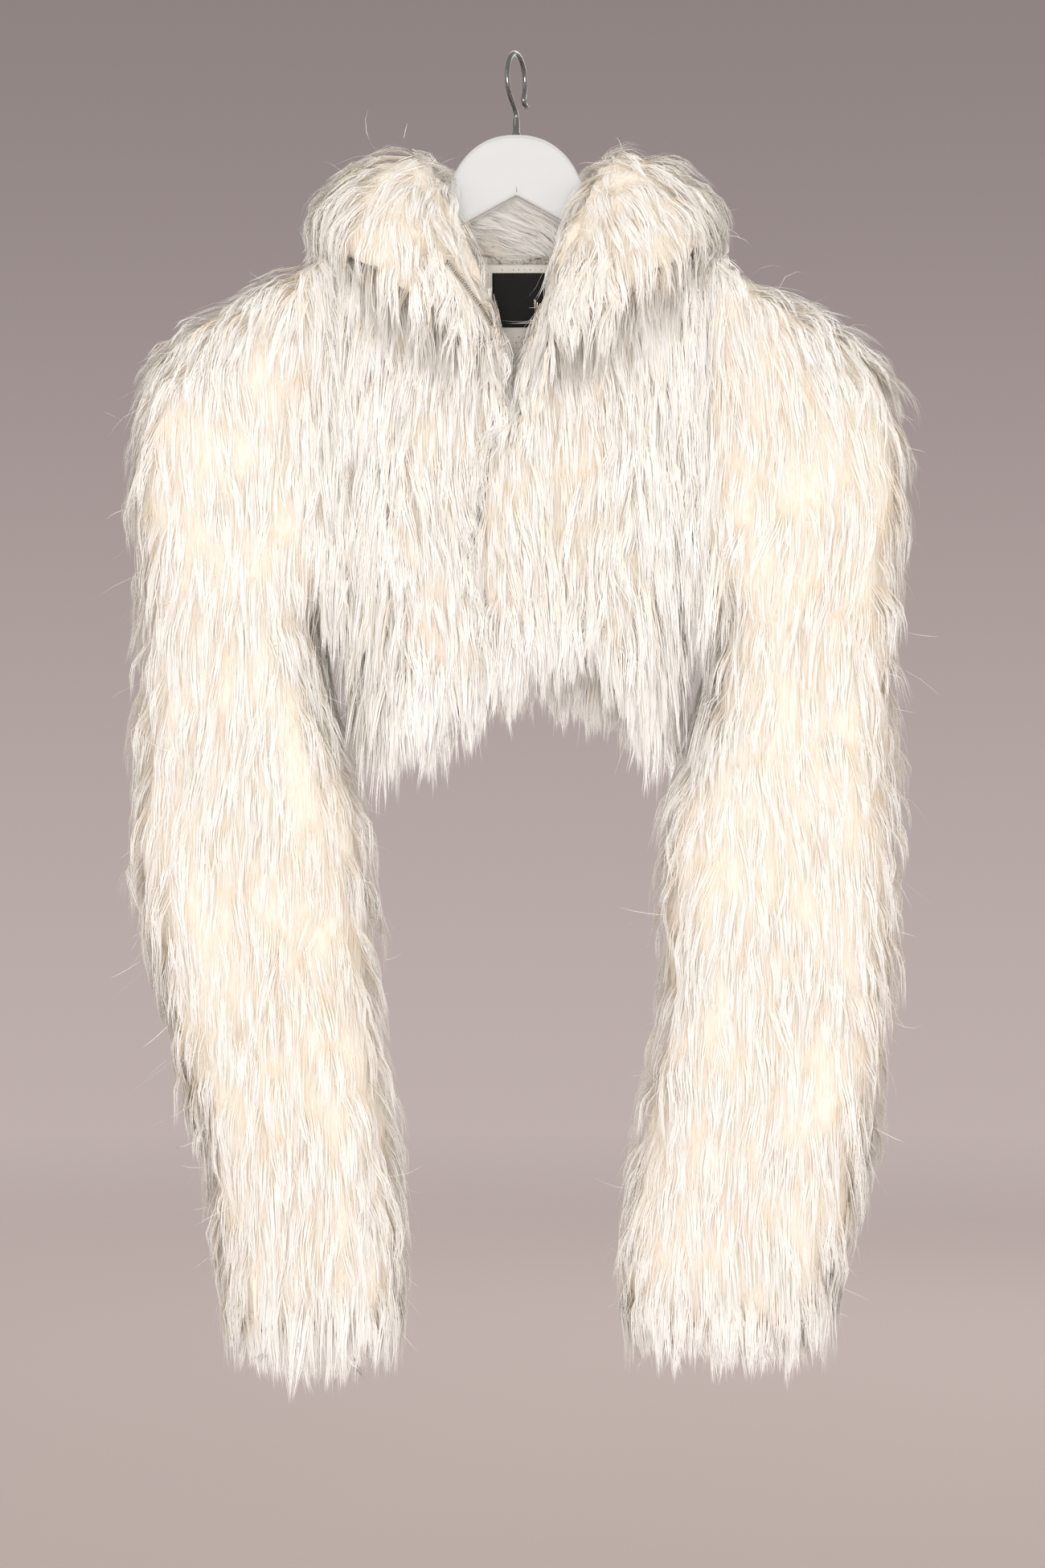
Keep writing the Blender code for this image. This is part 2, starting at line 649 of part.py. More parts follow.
# ----------------------------------------------------------------------- collar
def collar_floor(x, y):
    """Lowest level that the uncut roll may reach: just inside the panels below it."""
    side = 1 if x > 0 else -1
    face = 1 if y > 0 else -1
    reach = abs(x)
    if abs(reach - NECK_POINT_X) < 0.014 and abs(y) < 0.024:
        return ridge_outer(NECK_POINT_X) + COLLAR_GAP
    if reach >= NECK_POINT_X:
        depth = body_depth(x, -0.2, side, face)
        if abs(y) >= depth:
            return -1.0
        return ridge_outer(x) - depth + sqrt(depth ** 2 - y ** 2) - COLLAR_SINK
    if y > 0:
        level = lookup(BACK_NECKLINE, "x", reach).z
    else:
        edge_top = abs(front_edge(side, NOTCH_TOP_Z))
        share = max(reach - edge_top, 0.0) / (NECK_POINT_X - edge_top)
        level = NOTCH_TOP_Z + (ridge_outer(NECK_POINT_X) - NOTCH_TOP_Z) * share
    if abs(y) < BOARD_HALF_THICKNESS + 0.003:
        level = max(level, board_top(x) + 0.002)
    depth = body_depth(x, level, side, face)
    return level + NECK_LIFT if abs(y) < depth + 0.002 else -1.0


def grown_copy(item, distance, collection):
    """A cutter: the same shape with its skin moved out by the seam gap."""
    work = bmesh.new()
    work.from_mesh(item.data)
    moves = [vertex.normal * min(vertex.calc_shell_factor(), 2.5) for vertex in work.verts]
    for vertex, move in zip(work.verts, moves):
        vertex.co += move * distance
    mesh = bpy.data.meshes.new("cutter_" + item.name)
    work.to_mesh(mesh)
    work.free()
    cutter = bpy.data.objects.new("cutter_" + item.name, mesh)
    cutter.matrix_world = item.matrix_world.copy()
    cutter.hide_render = True
    cutter.display_type = "WIRE"
    collection.objects.link(cutter)
    return cutter


def collar_section(row, side, number):
    """A leaning oval roll of double fur, flattened where it rests on the panels."""
    turn = radians(row.turn)
    outward = Vector((side * sin(turn), -cos(turn)))
    middle, half_height = (row.foot + row.top) / 2, (row.top - row.foot) / 2
    points = []
    sides = 18
    for step in range(sides):
        angle = 2 * pi * step / sides
        swell = 1 + (0.035 if (step + number) % 2 else -0.035)
        across = row.half_width * cos(angle) * swell - COLLAR_SHEAR * row.half_width * sin(angle)
        x = side * row.x + outward.x * across
        y = row.y + outward.y * across
        z = middle + half_height * sin(angle) * swell
        z = max(z, collar_floor(x, y))
        points.append((x, y, z))
    return points


def collar_rows():
    """The side table, smoothed to twice as many rows."""
    rows = []
    for first, second in zip(COLLAR_SIDE, COLLAR_SIDE[1:]):
        rows.append(first)
        rows.append(CollarRow(*((a + b) / 2 for a, b in zip(first, second))))
    rows.append(COLLAR_SIDE[-1])
    return rows


def build_collar(material, collection, neighbours, cutters):
    half = collar_rows()
    sections = [collar_section(row, -1, number) for number, row in enumerate(half)]
    sections += [collar_section(row, 1, number) for number, row in enumerate(half[:-1])][::-1]
    collar = add_mesh("collar", solid_loft(sections), material, collection)
    for item in neighbours:
        cut = collar.modifiers.new("rest on " + item.name, "BOOLEAN")
        cut.operation = "DIFFERENCE"
        cut.object = grown_copy(item, COLLAR_GAP, cutters)
    return collar


# -------------------------------------------------------------------------- zip
def zip_y(z):
    """The closed zip's plane, just inside the fronts."""
    return -(lookup(BODY_HOLLOW, "z", z).hollow - 0.0012)


def slider_front():
    """Depth of the slider's front face."""
    return zip_y(SLIDER_Z) - SEAM_GAP - SLIDER_SIZE[1]


def build_closed_tape(side, material, collection):
    """One half of the closed zip, from the slider down to the cloth's hem."""
    near = ZIP_X + side * TAPE_CLEARANCE
    far = near + side * TAPE_WIDTH
    front, back = [], []
    steps = 6
    for step in range(steps + 1):
        z = SLIDER_Z + SLIDER_SIZE[2] / 2 + (TAPE_FOOT_Z - SLIDER_Z) * step / steps
        front.append([(x, zip_y(z), z) for x in (near, far)])
        back.append([(x, zip_y(z) + TAPE_THICKNESS, z) for x in (near, far)])
    name = "zip_tape_left_closed" if side > 0 else "zip_tape_right_closed"
    return add_mesh(name, wall_sheet(front, back), material, collection)


def build_open_tape(side, material, collection):
    """One half of the open zip, laid on the collar's front edge from its points."""
    lower, upper = [], []
    for number, row in enumerate(collar_rows()[:OPEN_TAPE_ROWS]):
        section = [Vector(point) for point in collar_section(row, side, number)]
        centre = sum(section, Vector()) / len(section)
        pair = section[0], section[1]
        lower.append([point + (point - centre).normalized() * TAPE_CLEARANCE for point in pair])
        lift = TAPE_CLEARANCE + TAPE_THICKNESS
        upper.append([point + (point - centre).normalized() * lift for point in pair])
    name = "zip_tape_left_open" if side > 0 else "zip_tape_right_open"
    return add_mesh(name, wall_sheet(upper, lower), material, collection)


def flat_solid(name, outlines, thickness):
    """A flat outline in XZ with its holes, as a mesh with thickness along Y."""
    curve = bpy.data.curves.new(name, "CURVE")
    curve.dimensions = "2D"
    curve.fill_mode = "BOTH"
    curve.extrude = thickness / 2
    for outline in outlines:
        spline = curve.splines.new("POLY")
        spline.points.add(len(outline) - 1)
        spline.use_cyclic_u = True
        for knot, (x, z) in zip(spline.points, outline):
            knot.co = (x, z, 0, 1)
    item = bpy.data.objects.new(name, curve)
    item.rotation_euler = (pi / 2, 0, 0)
    weld = item.modifiers.new("weld caps", "WELD")
    weld.merge_threshold = 0.00001
    return item


def build_slider(material, collection, cutters):
    """The zip's slider: a rounded block with a staple that holds the pull."""
    front = slider_front()

    def build(work):
        bmesh.ops.create_cube(work, size=1.0)
        bmesh.ops.scale(work, vec=SLIDER_SIZE, verts=work.verts)
    slider = add_mesh("zip_slider", build, material, collection)
    slider.location = (ZIP_X, front + SLIDER_SIZE[1] / 2, SLIDER_Z)
    bevel = slider.modifiers.new("round edges", "BEVEL")
    bevel.width = 0.0009
    bevel.segments = 2
    sunk, reach, rise, bar = 0.0005, -STAPLE_REACH, STAPLE_RISE, STAPLE_BAR
    outline = [(sunk, rise), (reach, rise), (reach, -rise), (sunk, -rise),
               (sunk, bar - rise), (reach + bar, bar - rise), (reach + bar, rise - bar), (sunk, rise - bar)]
    staple = flat_solid("cutter_staple", [outline], bar)
    staple.rotation_euler = (pi / 2, 0, pi / 2)
    staple.location = (ZIP_X, front, SLIDER_Z)
    staple.hide_render = True
    staple.display_type = "WIRE"
    cutters.objects.link(staple)
    bpy.context.view_layer.update()
    mesh = bpy.data.meshes.new_from_object(staple.evaluated_get(bpy.context.evaluated_depsgraph_get()))
    solid = bpy.data.objects.new("cutter_staple_solid", mesh)
    solid.matrix_world = staple.matrix_world.copy()
    solid.hide_render = True
    solid.display_type = "WIRE"
    cutters.objects.link(solid)
    bpy.data.objects.remove(staple)
    join = slider.modifiers.new("staple", "BOOLEAN")
    join.operation = "UNION"
    join.object = solid
    return slider


def build_pull(material, collection):
    """A flat tab whose top bar turns inside the slider's staple."""
    half, bar = PULL_WIDTH / 2, PULL_THICKNESS
    foot = PULL_LENGTH - half
    outline = [(half, bar / 2), (-half, bar / 2), (-half, -foot)]
    for step in range(1, 8):
        angle = pi + pi * step / 8
        outline.append((half * cos(angle), -foot + half * sin(angle)))
    outline.append((half, -foot))
    slot = [(-0.0016, -bar / 2), (0.0016, -bar / 2), (0.0016, -0.0052), (-0.0016, -0.0052)]
    pull = flat_solid("zip_pull", [outline, slot], PULL_THICKNESS)
    pull.data.materials.append(material)
    pull.location = (ZIP_X, slider_front() - PULL_AXIS_REACH, SLIDER_Z)
    collection.objects.link(pull)
    return pull


# -------------------------------------------------------------- lining and label
def neck_sheet(name, left, right, top, foot, rest, thickness, material, collection):
    """A thin sheet on the back's inner face, `rest` away from it."""
    columns, rows = 6, 4
    near, far = [], []
    for row in range(rows + 1):
        z = top + (foot - top) * row / rows
        near_row, far_row = [], []
        for column in range(columns + 1):
            x = left + (right - left) * column / columns
            y = inner_y(x, z, 1 if x > 0 else -1, 1) - rest
            far_row.append((x, y, z))
            near_row.append((x, y - thickness, z))
        near.append(near_row)
        far.append(far_row)
    return add_mesh(name, wall_sheet(near, far), material, collection)


# ---------------------------------------------------------------- rows of locks
def lock_row(stations, lengths, closed):
    """A narrow strip with a tapering four-sided lock under every second cell.

    stations are pairs (centre, depth), lengths has one value for each lock.
    """
    def build(work):
        corners = []
        for centre, depth in stations:
            rise = Vector((0, 0, STRIP_HEIGHT / 2))
            points = (centre - depth + rise, centre + depth + rise, centre + depth - rise, centre - depth - rise)
            corners.append([work.verts.new(point) for point in points])
        cells = len(corners) if closed else len(corners) - 1
        for cell in range(cells):
            here, there = corners[cell], corners[(cell + 1) % len(corners)]
            for first, second in ((0, 1), (1, 2), (3, 0)):
                work.faces.new((here[first], here[second], there[second], there[first]))
            root = [here[2], here[3], there[3], there[2]]
            if cell % 2:
                work.faces.new(root)
                continue
            add_lock(work, root, lengths[cell // 2], cell // 2)
        if not closed:
            work.faces.new(corners[0])
            work.faces.new(corners[-1])
    return build


def add_lock(work, root, length, number):
    centre = sum((vertex.co for vertex in root), Vector()) / len(root)
    sway = Vector((0.0035 * sin(2.4 * number), 0.0035 * cos(1.7 * number), 0))
    middle = []
    for vertex in root:
        point = centre + (vertex.co - centre) * 0.82 + sway * 0.4
        point.z = centre.z - 0.45 * length
        middle.append(work.verts.new(point))
    tip = work.verts.new(centre + sway - Vector((0, 0, length)))
    bridge_rows(work, [root, middle], closed=True)
    for index, vertex in enumerate(middle):
        work.faces.new((vertex, middle[(index + 1) % len(middle)], tip))


def hem_locks(name, start, end, table, hem, face, material, collection):
    """Locks under a panel's hem line, from x = start to x = end."""
    count = round(abs(end - start) / HEM_LOCK_PITCH)
    pitch = (end - start) / count
    near = 0.0045
    stations, lengths = [], []
    for number in range(count):
        lowest = 0.0
        for share in ((1 - LOCK_SHARE) / 2, (1 + LOCK_SHARE) / 2):
            x = start + pitch * (number + share)
            level = min(lookup(hem, "x", x + shift).z for shift in (-near, 0.0, near))
            z = level - STRIP_GAP - STRIP_HEIGHT / 2
            lowest = min(lowest, z - STRIP_HEIGHT / 2)
            y = face * max(abs(lookup(hem, "x", x).y), STRIP_DEPTH)
            centre = Vector((x, y, z))
            stations.append((centre, Vector((0, face * STRIP_DEPTH / 2, 0))))
        tip = lookup(table, "x", start + pitch * (number + 0.5)).tip
        lengths.append(lowest - tip - 0.006 * (number % 3))
    return add_mesh(name, lock_row(stations, lengths, False), material, collection)


def cuff_locks(side, material, collection):
    """A ring of locks under one sleeve's edge, longest in the middle of each face."""
    row = SLEEVE_DROP[side][-1]
    half = (row.outer - row.inner) / 2
    centre_x = side * (row.inner + row.outer) / 2
    z = row.z - SEAM_GAP - STRIP_HEIGHT / 2
    loop = slot_outline(half - PILE / 2, (row.depth + row.hollow) / 2, 24)
    perimeter = [Vector((across, depth)) for across, depth in loop]
    spans = [(b - a).length for a, b in zip(perimeter, perimeter[1:] + perimeter[:1])]
    total = sum(spans)
    stations, lengths = [], []
    for number in range(CUFF_LOCKS):
        for share in (0.0, LOCK_SHARE):
            point = loop_point(perimeter, spans, total * (number + share) / CUFF_LOCKS)
            outward = Vector((point.x / half, point.y / row.depth)).normalized()
            centre = Vector((centre_x + side * point.x, row.y + point.y, z))
            stations.append((centre, Vector((side * outward.x, outward.y, 0)) * STRIP_DEPTH / 2))
        longest = z - STRIP_HEIGHT / 2 - CUFF_TIP_Z[side]
        lengths.append((longest - 0.005 * (number % 3)) * (1 - 0.55 * abs(point.x / half) ** 2.5))
    name = "cuff_locks_left" if side > 0 else "cuff_locks_right"
    return add_mesh(name, lock_row(stations, lengths, True), material, collection)


def loop_point(points, spans, distance):
    """The place at one distance along a closed outline."""
    for index, span in enumerate(spans):
        if distance <= span:
            return points[index].lerp(points[(index + 1) % len(points)], distance / span)
        distance -= span
    return points[0].copy()


# ---------------------------------------------------------------------- assembly
def main():
    clear_scene()
    collection = bpy.data.collections.new("fur_bolero_on_hanger")
    bpy.context.scene.collection.children.link(collection)
    cutters = bpy.data.collections.new("cutters")
    bpy.context.scene.collection.children.link(cutters)
    fur = make_material("ivory_fur", (0.90, 0.86, 0.79), 0.80)
    wood = make_material("white_painted_wood", (0.86, 0.86, 0.85), 0.35)
    chrome = make_material("chrome_wire", (0.62, 0.62, 0.63), 0.15, 1.0)
    metal = make_material("silver_zip_metal", (0.70, 0.69, 0.66), 0.28, 1.0)
    tape = make_material("cream_zip_tape", (0.84, 0.80, 0.73), 0.85)
    knit = make_material("cream_knit_lining", (0.82, 0.77, 0.69), 0.90)
    woven = make_material("black_woven_label", (0.02, 0.02, 0.02), 0.70)

    board = build_hanger_board(wood, collection)
    build_hook(chrome, collection)
    build_ferrule(chrome, collection)
    back, back_hem = build_back(fur, collection)
    front_right, right_hem = build_front(-1, fur, collection)
    front_left, left_hem = build_front(1, fur, collection)
    panels = [back, front_right, front_left]
    for side in (-1, 1):
        panels.append(build_sleeve(side, fur, collection))
        cuff_locks(side, fur, collection)
        build_open_tape(side, tape, collection)
        build_closed_tape(side, tape, collection)
    build_collar(fur, collection, [board] + panels, cutters)
    hem_locks("hem_locks_front_right", -0.102, -0.026, FRONT_HEM, right_hem, -1, fur, collection)
    hem_locks("hem_locks_front_left", -0.008, 0.102, FRONT_HEM, left_hem, -1, fur, collection)
    hem_locks("hem_locks_back", -0.102, 0.102, BACK_HEM, back_hem, 1, fur, collection)
    build_slider(metal, collection, cutters)
    build_pull(metal, collection)
    neck_sheet("back_neck_lining", -LINING_HALF_WIDTH, LINING_HALF_WIDTH, LINING_TOP_Z, LINING_FOOT_Z,
               SEAM_GAP, LINING_THICKNESS, knit, collection)
    neck_sheet("neck_label", LABEL_LEFT_X, LABEL_RIGHT_X, LABEL_TOP_Z, LABEL_FOOT_Z,
               LINING_THICKNESS + 3 * SEAM_GAP, LABEL_THICKNESS, woven, collection)


main()
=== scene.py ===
"""Looks of a cropped bolero of long shaggy fur on a wooden hanger, dressed over its solids.

Metres, +Z up, the camera's side is -Y and the wearer's left is +X.
"""
import math
from collections import namedtuple

import bmesh
import bpy
import numpy as np
from bpy.props import FloatProperty, FloatVectorProperty, PointerProperty
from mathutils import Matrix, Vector, noise
from mathutils.bvhtree import BVHTree
from mathutils.geometry import barycentric_transform


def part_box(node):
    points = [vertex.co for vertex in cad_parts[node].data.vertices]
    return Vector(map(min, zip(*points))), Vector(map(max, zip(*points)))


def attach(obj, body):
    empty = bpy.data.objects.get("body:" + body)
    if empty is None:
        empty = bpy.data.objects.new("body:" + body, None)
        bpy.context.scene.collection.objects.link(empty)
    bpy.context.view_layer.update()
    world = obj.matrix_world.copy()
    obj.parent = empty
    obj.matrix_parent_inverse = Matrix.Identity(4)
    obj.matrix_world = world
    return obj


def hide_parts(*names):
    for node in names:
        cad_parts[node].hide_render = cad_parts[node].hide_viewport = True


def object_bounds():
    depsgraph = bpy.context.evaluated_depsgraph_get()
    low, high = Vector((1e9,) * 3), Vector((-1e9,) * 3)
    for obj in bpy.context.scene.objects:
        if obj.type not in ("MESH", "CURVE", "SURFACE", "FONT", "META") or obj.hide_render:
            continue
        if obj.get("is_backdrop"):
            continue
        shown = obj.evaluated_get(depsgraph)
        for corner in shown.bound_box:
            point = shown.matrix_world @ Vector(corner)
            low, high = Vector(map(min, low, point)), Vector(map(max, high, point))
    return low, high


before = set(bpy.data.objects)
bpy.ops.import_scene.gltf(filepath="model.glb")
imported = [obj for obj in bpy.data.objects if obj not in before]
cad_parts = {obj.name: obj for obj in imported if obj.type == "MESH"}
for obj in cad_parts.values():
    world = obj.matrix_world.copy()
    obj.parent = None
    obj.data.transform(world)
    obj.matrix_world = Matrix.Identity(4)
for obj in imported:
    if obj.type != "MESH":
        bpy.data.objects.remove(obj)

bl_info = {
    "name": "Fur Bolero Dresser",
    "version": (1, 0, 0),
    "blender": (4, 5, 0),
    "location": "3D View > Sidebar > Bolero",
    "description": "Dresses the solids of a hanging fur bolero with cloth, pile, zip and paint",
    "category": "Object",
}

CAD_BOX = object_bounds()
noise.seed_set(1)            # the noise vectors start from the clock unless they are given a seed
BODY = "root"
PANELS = ("front_right", "front_left", "back")
SLEEVES = ("sleeve_right", "sleeve_left")
FUR_NODES = PANELS + SLEEVES + ("collar",)
DOWN = Vector((0, 0, -1))
LOCK_NODES = {
    "front_right": ["hem_locks_front_right"],
    "front_left": ["hem_locks_front_left"],
    "back": ["hem_locks_back"],
    "sleeve_right": ["cuff_locks_right"],
    "sleeve_left": ["cuff_locks_left"],
}
ARMHOLE_X, ARMHOLE_Z = (0.088, 0.150), (-0.50, -0.13)

SLIDER_LOW, SLIDER_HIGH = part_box("zip_slider")
ZIP_X = (SLIDER_LOW.x + SLIDER_HIGH.x) / 2


# ---------------------------------------------------------------------- settings
class FurSettings(bpy.types.PropertyGroup):
    pile_depth: FloatProperty(
        name="Underwool depth", description="From the pile's outline in to the dense underwool",
        default=0.0088, min=0.002, unit="LENGTH")
    lock_length: FloatProperty(
        name="Lock length", description="Length of a lock on the body and sleeves",
        default=0.066, min=0.01, unit="LENGTH")
    collar_length: FloatProperty(
        name="Collar lock length", description="Length of a lock on the collar",
        default=0.062, min=0.01, unit="LENGTH")
    hair_width: FloatProperty(
        name="Hair width", description="Widest part of one hair ribbon",
        default=0.00060, min=0.0001, unit="LENGTH")
    # Painted shade: the peach that stands for the shade deep in the pile, next to the cloth
    root_shade_colour: FloatVectorProperty(
        name="Root colour", description="Peach of the pile next to the cloth",
        default=(0.94, 0.82, 0.67), size=3, subtype="COLOR")
    middle_colour: FloatVectorProperty(
        name="Middle colour", description="Warm cream of the pile's middle",
        default=(0.955, 0.90, 0.82), size=3, subtype="COLOR")
    tip_colour: FloatVectorProperty(
        name="Tip colour", description="Ivory of the pile's ends",
        default=(0.968, 0.942, 0.908), size=3, subtype="COLOR")
    collar_colour: FloatVectorProperty(
        name="Collar tip colour", description="Cooler ivory of the collar's ends",
        default=(0.955, 0.925, 0.885), size=3, subtype="COLOR")


class TrimSettings(bpy.types.PropertyGroup):
    cloth_thickness: FloatProperty(
        name="Cloth thickness", description="Knitted ground that carries the pile",
        default=0.0012, min=0.0004, unit="LENGTH")
    tooth_pitch: FloatProperty(
        name="Tooth pitch", description="From one zip tooth to the next on the same tape",
        default=0.00190, min=0.0008, unit="LENGTH")
    metal_colour: FloatVectorProperty(
        name="Zip metal", description="Silver with a little gold in it",
        default=(0.80, 0.765, 0.70), size=3, subtype="COLOR")
    knit_colour: FloatVectorProperty(
        name="Knit", description="Cream of the lining and tapes",
        default=(0.85, 0.79, 0.71), size=3, subtype="COLOR")
    label_colour: FloatVectorProperty(
        name="Label", description="Black of the woven neck label",
        default=(0.007, 0.006, 0.006), size=3, subtype="COLOR")
    paint_colour: FloatVectorProperty(
        name="Hanger paint", description="White satin paint",
        default=(0.60, 0.60, 0.595), size=3, subtype="COLOR")


class StageSettings(bpy.types.PropertyGroup):
    camera_distance: FloatProperty(
        name="Camera distance", description="From the lens to the garment's middle plane",
        default=2.80, min=0.5, unit="LENGTH")
    floor_drop: FloatProperty(
        name="Floor drop", description="How far the floor lies below the lowest lock",
        default=0.22, min=0.0, unit="LENGTH")
    key_power: FloatProperty(
        name="Softbox power", description="Power that the share of each softbox is taken from",
        default=24.5, min=0.0, unit="POWER")
    ambient: FloatProperty(
        name="Room light", description="Even light from all round the garment",
        default=0.72, min=0.0)
    backdrop_top: FloatVectorProperty(
        name="Backdrop top", description="Grey-taupe above the garment",
        default=(0.262, 0.216, 0.214), size=3, subtype="COLOR")
    backdrop_foot: FloatVectorProperty(
        name="Backdrop foot", description="Paler taupe below the garment",
        default=(0.53, 0.445, 0.425), size=3, subtype="COLOR")


# ------------------------------------------------------------- shader expressions
class Wire:
    """A number socket that can stand in a Python expression."""

    def __init__(self, nodes, socket):
        self.nodes = nodes
        self.socket = socket

    def _maths(self, operation, first, second=None):
        values = {0: first} if second is None else {0: first, 1: second}
        return self.nodes.add("ShaderNodeMath", {"operation": operation}, values)

    def __add__(self, other):
        return self._maths("ADD", self, other)

    def __radd__(self, other):
        return self._maths("ADD", other, self)

    def __sub__(self, other):
        return self._maths("SUBTRACT", self, other)

    def __rsub__(self, other):
        return self._maths("SUBTRACT", other, self)

    def __mul__(self, other):
        return self._maths("MULTIPLY", self, other)

    def __rmul__(self, other):
        return self._maths("MULTIPLY", other, self)

    def __truediv__(self, other):
        return self._maths("DIVIDE", self, other)

    def __rtruediv__(self, other):
        return self._maths("DIVIDE", other, self)

    def above(self, level):
        return self._maths("GREATER_THAN", self, level)

    def fraction(self):
        return self._maths("FRACT", self)

    def sine(self):
        return self._maths("SINE", self)


class Nodes:
    """A node tree and the ways in which its nodes are added and joined."""

    def __init__(self, tree):
        self.tree = tree

    def _plug(self, socket, value):
        if isinstance(value, Wire):
            self.tree.links.new(value.socket, socket)
        else:
            socket.default_value = value

    def add(self, kind, settings, sockets, out=0):
        """A node of any kind: its settings first, then its sockets; returns one output."""
        node = self.tree.nodes.new(kind)
        for key, value in settings.items():
            if key == "stops":
                self._ramp(node.color_ramp, value)
            else:
                setattr(node, key, value)
        for key, value in sockets.items():
            self._plug(node.inputs[key], value)
        return Wire(self, node.outputs[out])

    def _ramp(self, ramp, stops):
        while len(ramp.elements) < len(stops):
            ramp.elements.new(0.5)
        for element, (place, shade) in zip(ramp.elements, stops):
            element.position = place
            element.color = (shade, shade, shade, 1)

    def mix(self, share, first, second, mode="MIX"):
        """Two colours mixed by a share; a plain colour is given as three numbers."""
        first, second = (c if isinstance(c, Wire) else (*c, 1) for c in (first, second))
        settings = {"data_type": "RGBA", "blend_type": mode}
        return self.add("ShaderNodeMix", settings, {0: share, 6: first, 7: second}, out=2)


class Paint(Nodes):
    """One material, its Principled shader and the nodes that feed it."""

    def __init__(self, name, colour, roughness, metallic=0.0, **constants):
        self.material = bpy.data.materials.new(name)
        self.material.use_nodes = True
        super().__init__(self.material.node_tree)
        self.shader = self.tree.nodes["Principled BSDF"]
        self.set("Base Color", (*colour, 1))
        self.set("Roughness", roughness)
        self.set("Metallic", metallic)
        for socket, value in constants.items():
            self.set(socket.replace("_", " "), value)

    def set(self, socket, value):
        """A constant or a wire on one of the shader's own sockets."""
        self._plug(self.shader.inputs[socket], value)

    def place(self, axis=None):
        """The point in the object's own metres, or one of its coordinates."""
        point = self.add("ShaderNodeTexCoord", {}, {}, out="Object")
        if axis is None:
            return point
        return self.add("ShaderNodeSeparateXYZ", {}, {0: point}, out=axis)

    def value(self, name):
        """A number stored on the mesh."""
        return self.add("ShaderNodeAttribute", {"attribute_name": name}, {}, out="Fac")

    def cloud(self, scale, detail=3.0, stretch=(1, 1, 1)):
        """Soft noise about 0.5, larger where the scale is small."""
        point = self.add("ShaderNodeVectorMath", {"operation": "MULTIPLY"},
                         {0: self.place(), 1: stretch})
        return self.add("ShaderNodeTexNoise", {},
                        {"Vector": point, "Scale": scale, "Detail": detail})

    def ramp(self, value, stops):
        return self.add("ShaderNodeValToRGB", {"stops": stops}, {"Fac": value})

    def bump(self, height, strength, distance):
        sockets = {"Height": height, "Strength": strength, "Distance": distance}
        self.set("Normal", self.add("ShaderNodeBump", {}, sockets))


def darker(colour, share):
    """A colour at a share of its brightness."""
    return tuple(share * c for c in colour)


def fur_paint(name, tips, settings):
    """Peach painted shade at the roots, for the shade deep in the pile, and all along a few strands, for the
    shade between locks; cream in the middle, ivory ends.
    """
    paint = Paint(name, tips, 0.60, Sheen_Weight=0.10, Sheen_Roughness=0.5,
                  Specular_IOR_Level=0.25)
    along, tone = paint.value("along"), paint.value("tone")
    drift = paint.cloud(9.0, stretch=(1.0, 1.0, 0.35))
    # Painted shade deep in the pile: the root colour near the roots, fading to the middle colour
    reach = paint.ramp(along + (drift - 0.5) * 0.5, [(0.0, 0.0), (0.22, 0.70), (0.60, 1.0)])
    warm = paint.mix(reach, settings.root_shade_colour, settings.middle_colour)
    bright = paint.ramp(along + tone * 0.55 + (drift - 0.5) * 0.7, [(0.20, 0.0), (0.80, 1.0)])
    colour = paint.mix(bright, warm, tips)
    # Painted shade between locks: strands of the lowest tones take the peach root colour all along
    streak = paint.ramp(tone + (drift - 0.5) * 0.4, [(0.05, 0.70), (0.16, 0.0)])
    paint.set("Base Color", paint.mix(streak, colour, settings.root_shade_colour))
    return paint.material


def underwool_paint(settings):
    """Dense short wool under the locks, combed into fine streaks down its length, with painted shade in the
    hollows of its bump.
    """
    paint = Paint("underwool", settings.middle_colour, 0.9, Sheen_Weight=0.2,
                  Specular_IOR_Level=0.1)
    streak = paint.cloud(650.0, detail=2.0, stretch=(1.0, 1.0, 0.06))
    tuft = paint.cloud(120.0, stretch=(1.0, 1.0, 0.20))
    # Painted shade: darker where the bump's height is low, in its hollows
    share = paint.ramp(streak * 0.7 + tuft * 0.5, [(0.42, 0.0), (0.72, 1.0)])
    paint.set("Base Color", paint.mix(share, darker(settings.root_shade_colour, 0.92), settings.middle_colour))
    paint.bump(streak * 0.6 + tuft, 0.9, 0.0025)
    return paint.material


def knit_paint(name, colour, pitch, holes):
    """Cream warp knit: fine ribs, and rows of pinholes where the ground is perforated, each painted
    near-black as the shade inside it.
    """
    paint = Paint(name, colour, 0.88, Sheen_Weight=0.15, Specular_IOR_Level=0.2)
    across, up = paint.place("X") / pitch, paint.place("Z") / pitch
    rib = (across * (6 * math.pi)).sine() * (up * (6 * math.pi)).sine()
    mottle = paint.cloud(220.0)
    cloth = paint.mix(mottle, darker(colour, 0.82), colour)
    height = rib * 0.5 + mottle
    if holes:
        row = (up * 0.5).fraction().above(0.5) * 0.5
        x, z = (across + row).fraction() - 0.5, up.fraction() - 0.5
        pinhole_shade = (1 - (x * x * 2.4 + z * z * 0.7).above(0.012)) * mottle.above(0.47)
        # Painted shade: each pinhole near-black, the shade inside the hole
        cloth = paint.mix(pinhole_shade, cloth, (0.05, 0.04, 0.035))
        height = height - pinhole_shade * 3.0
    paint.set("Base Color", cloth)
    paint.bump(height, 0.5, 0.0003)
    return paint.material


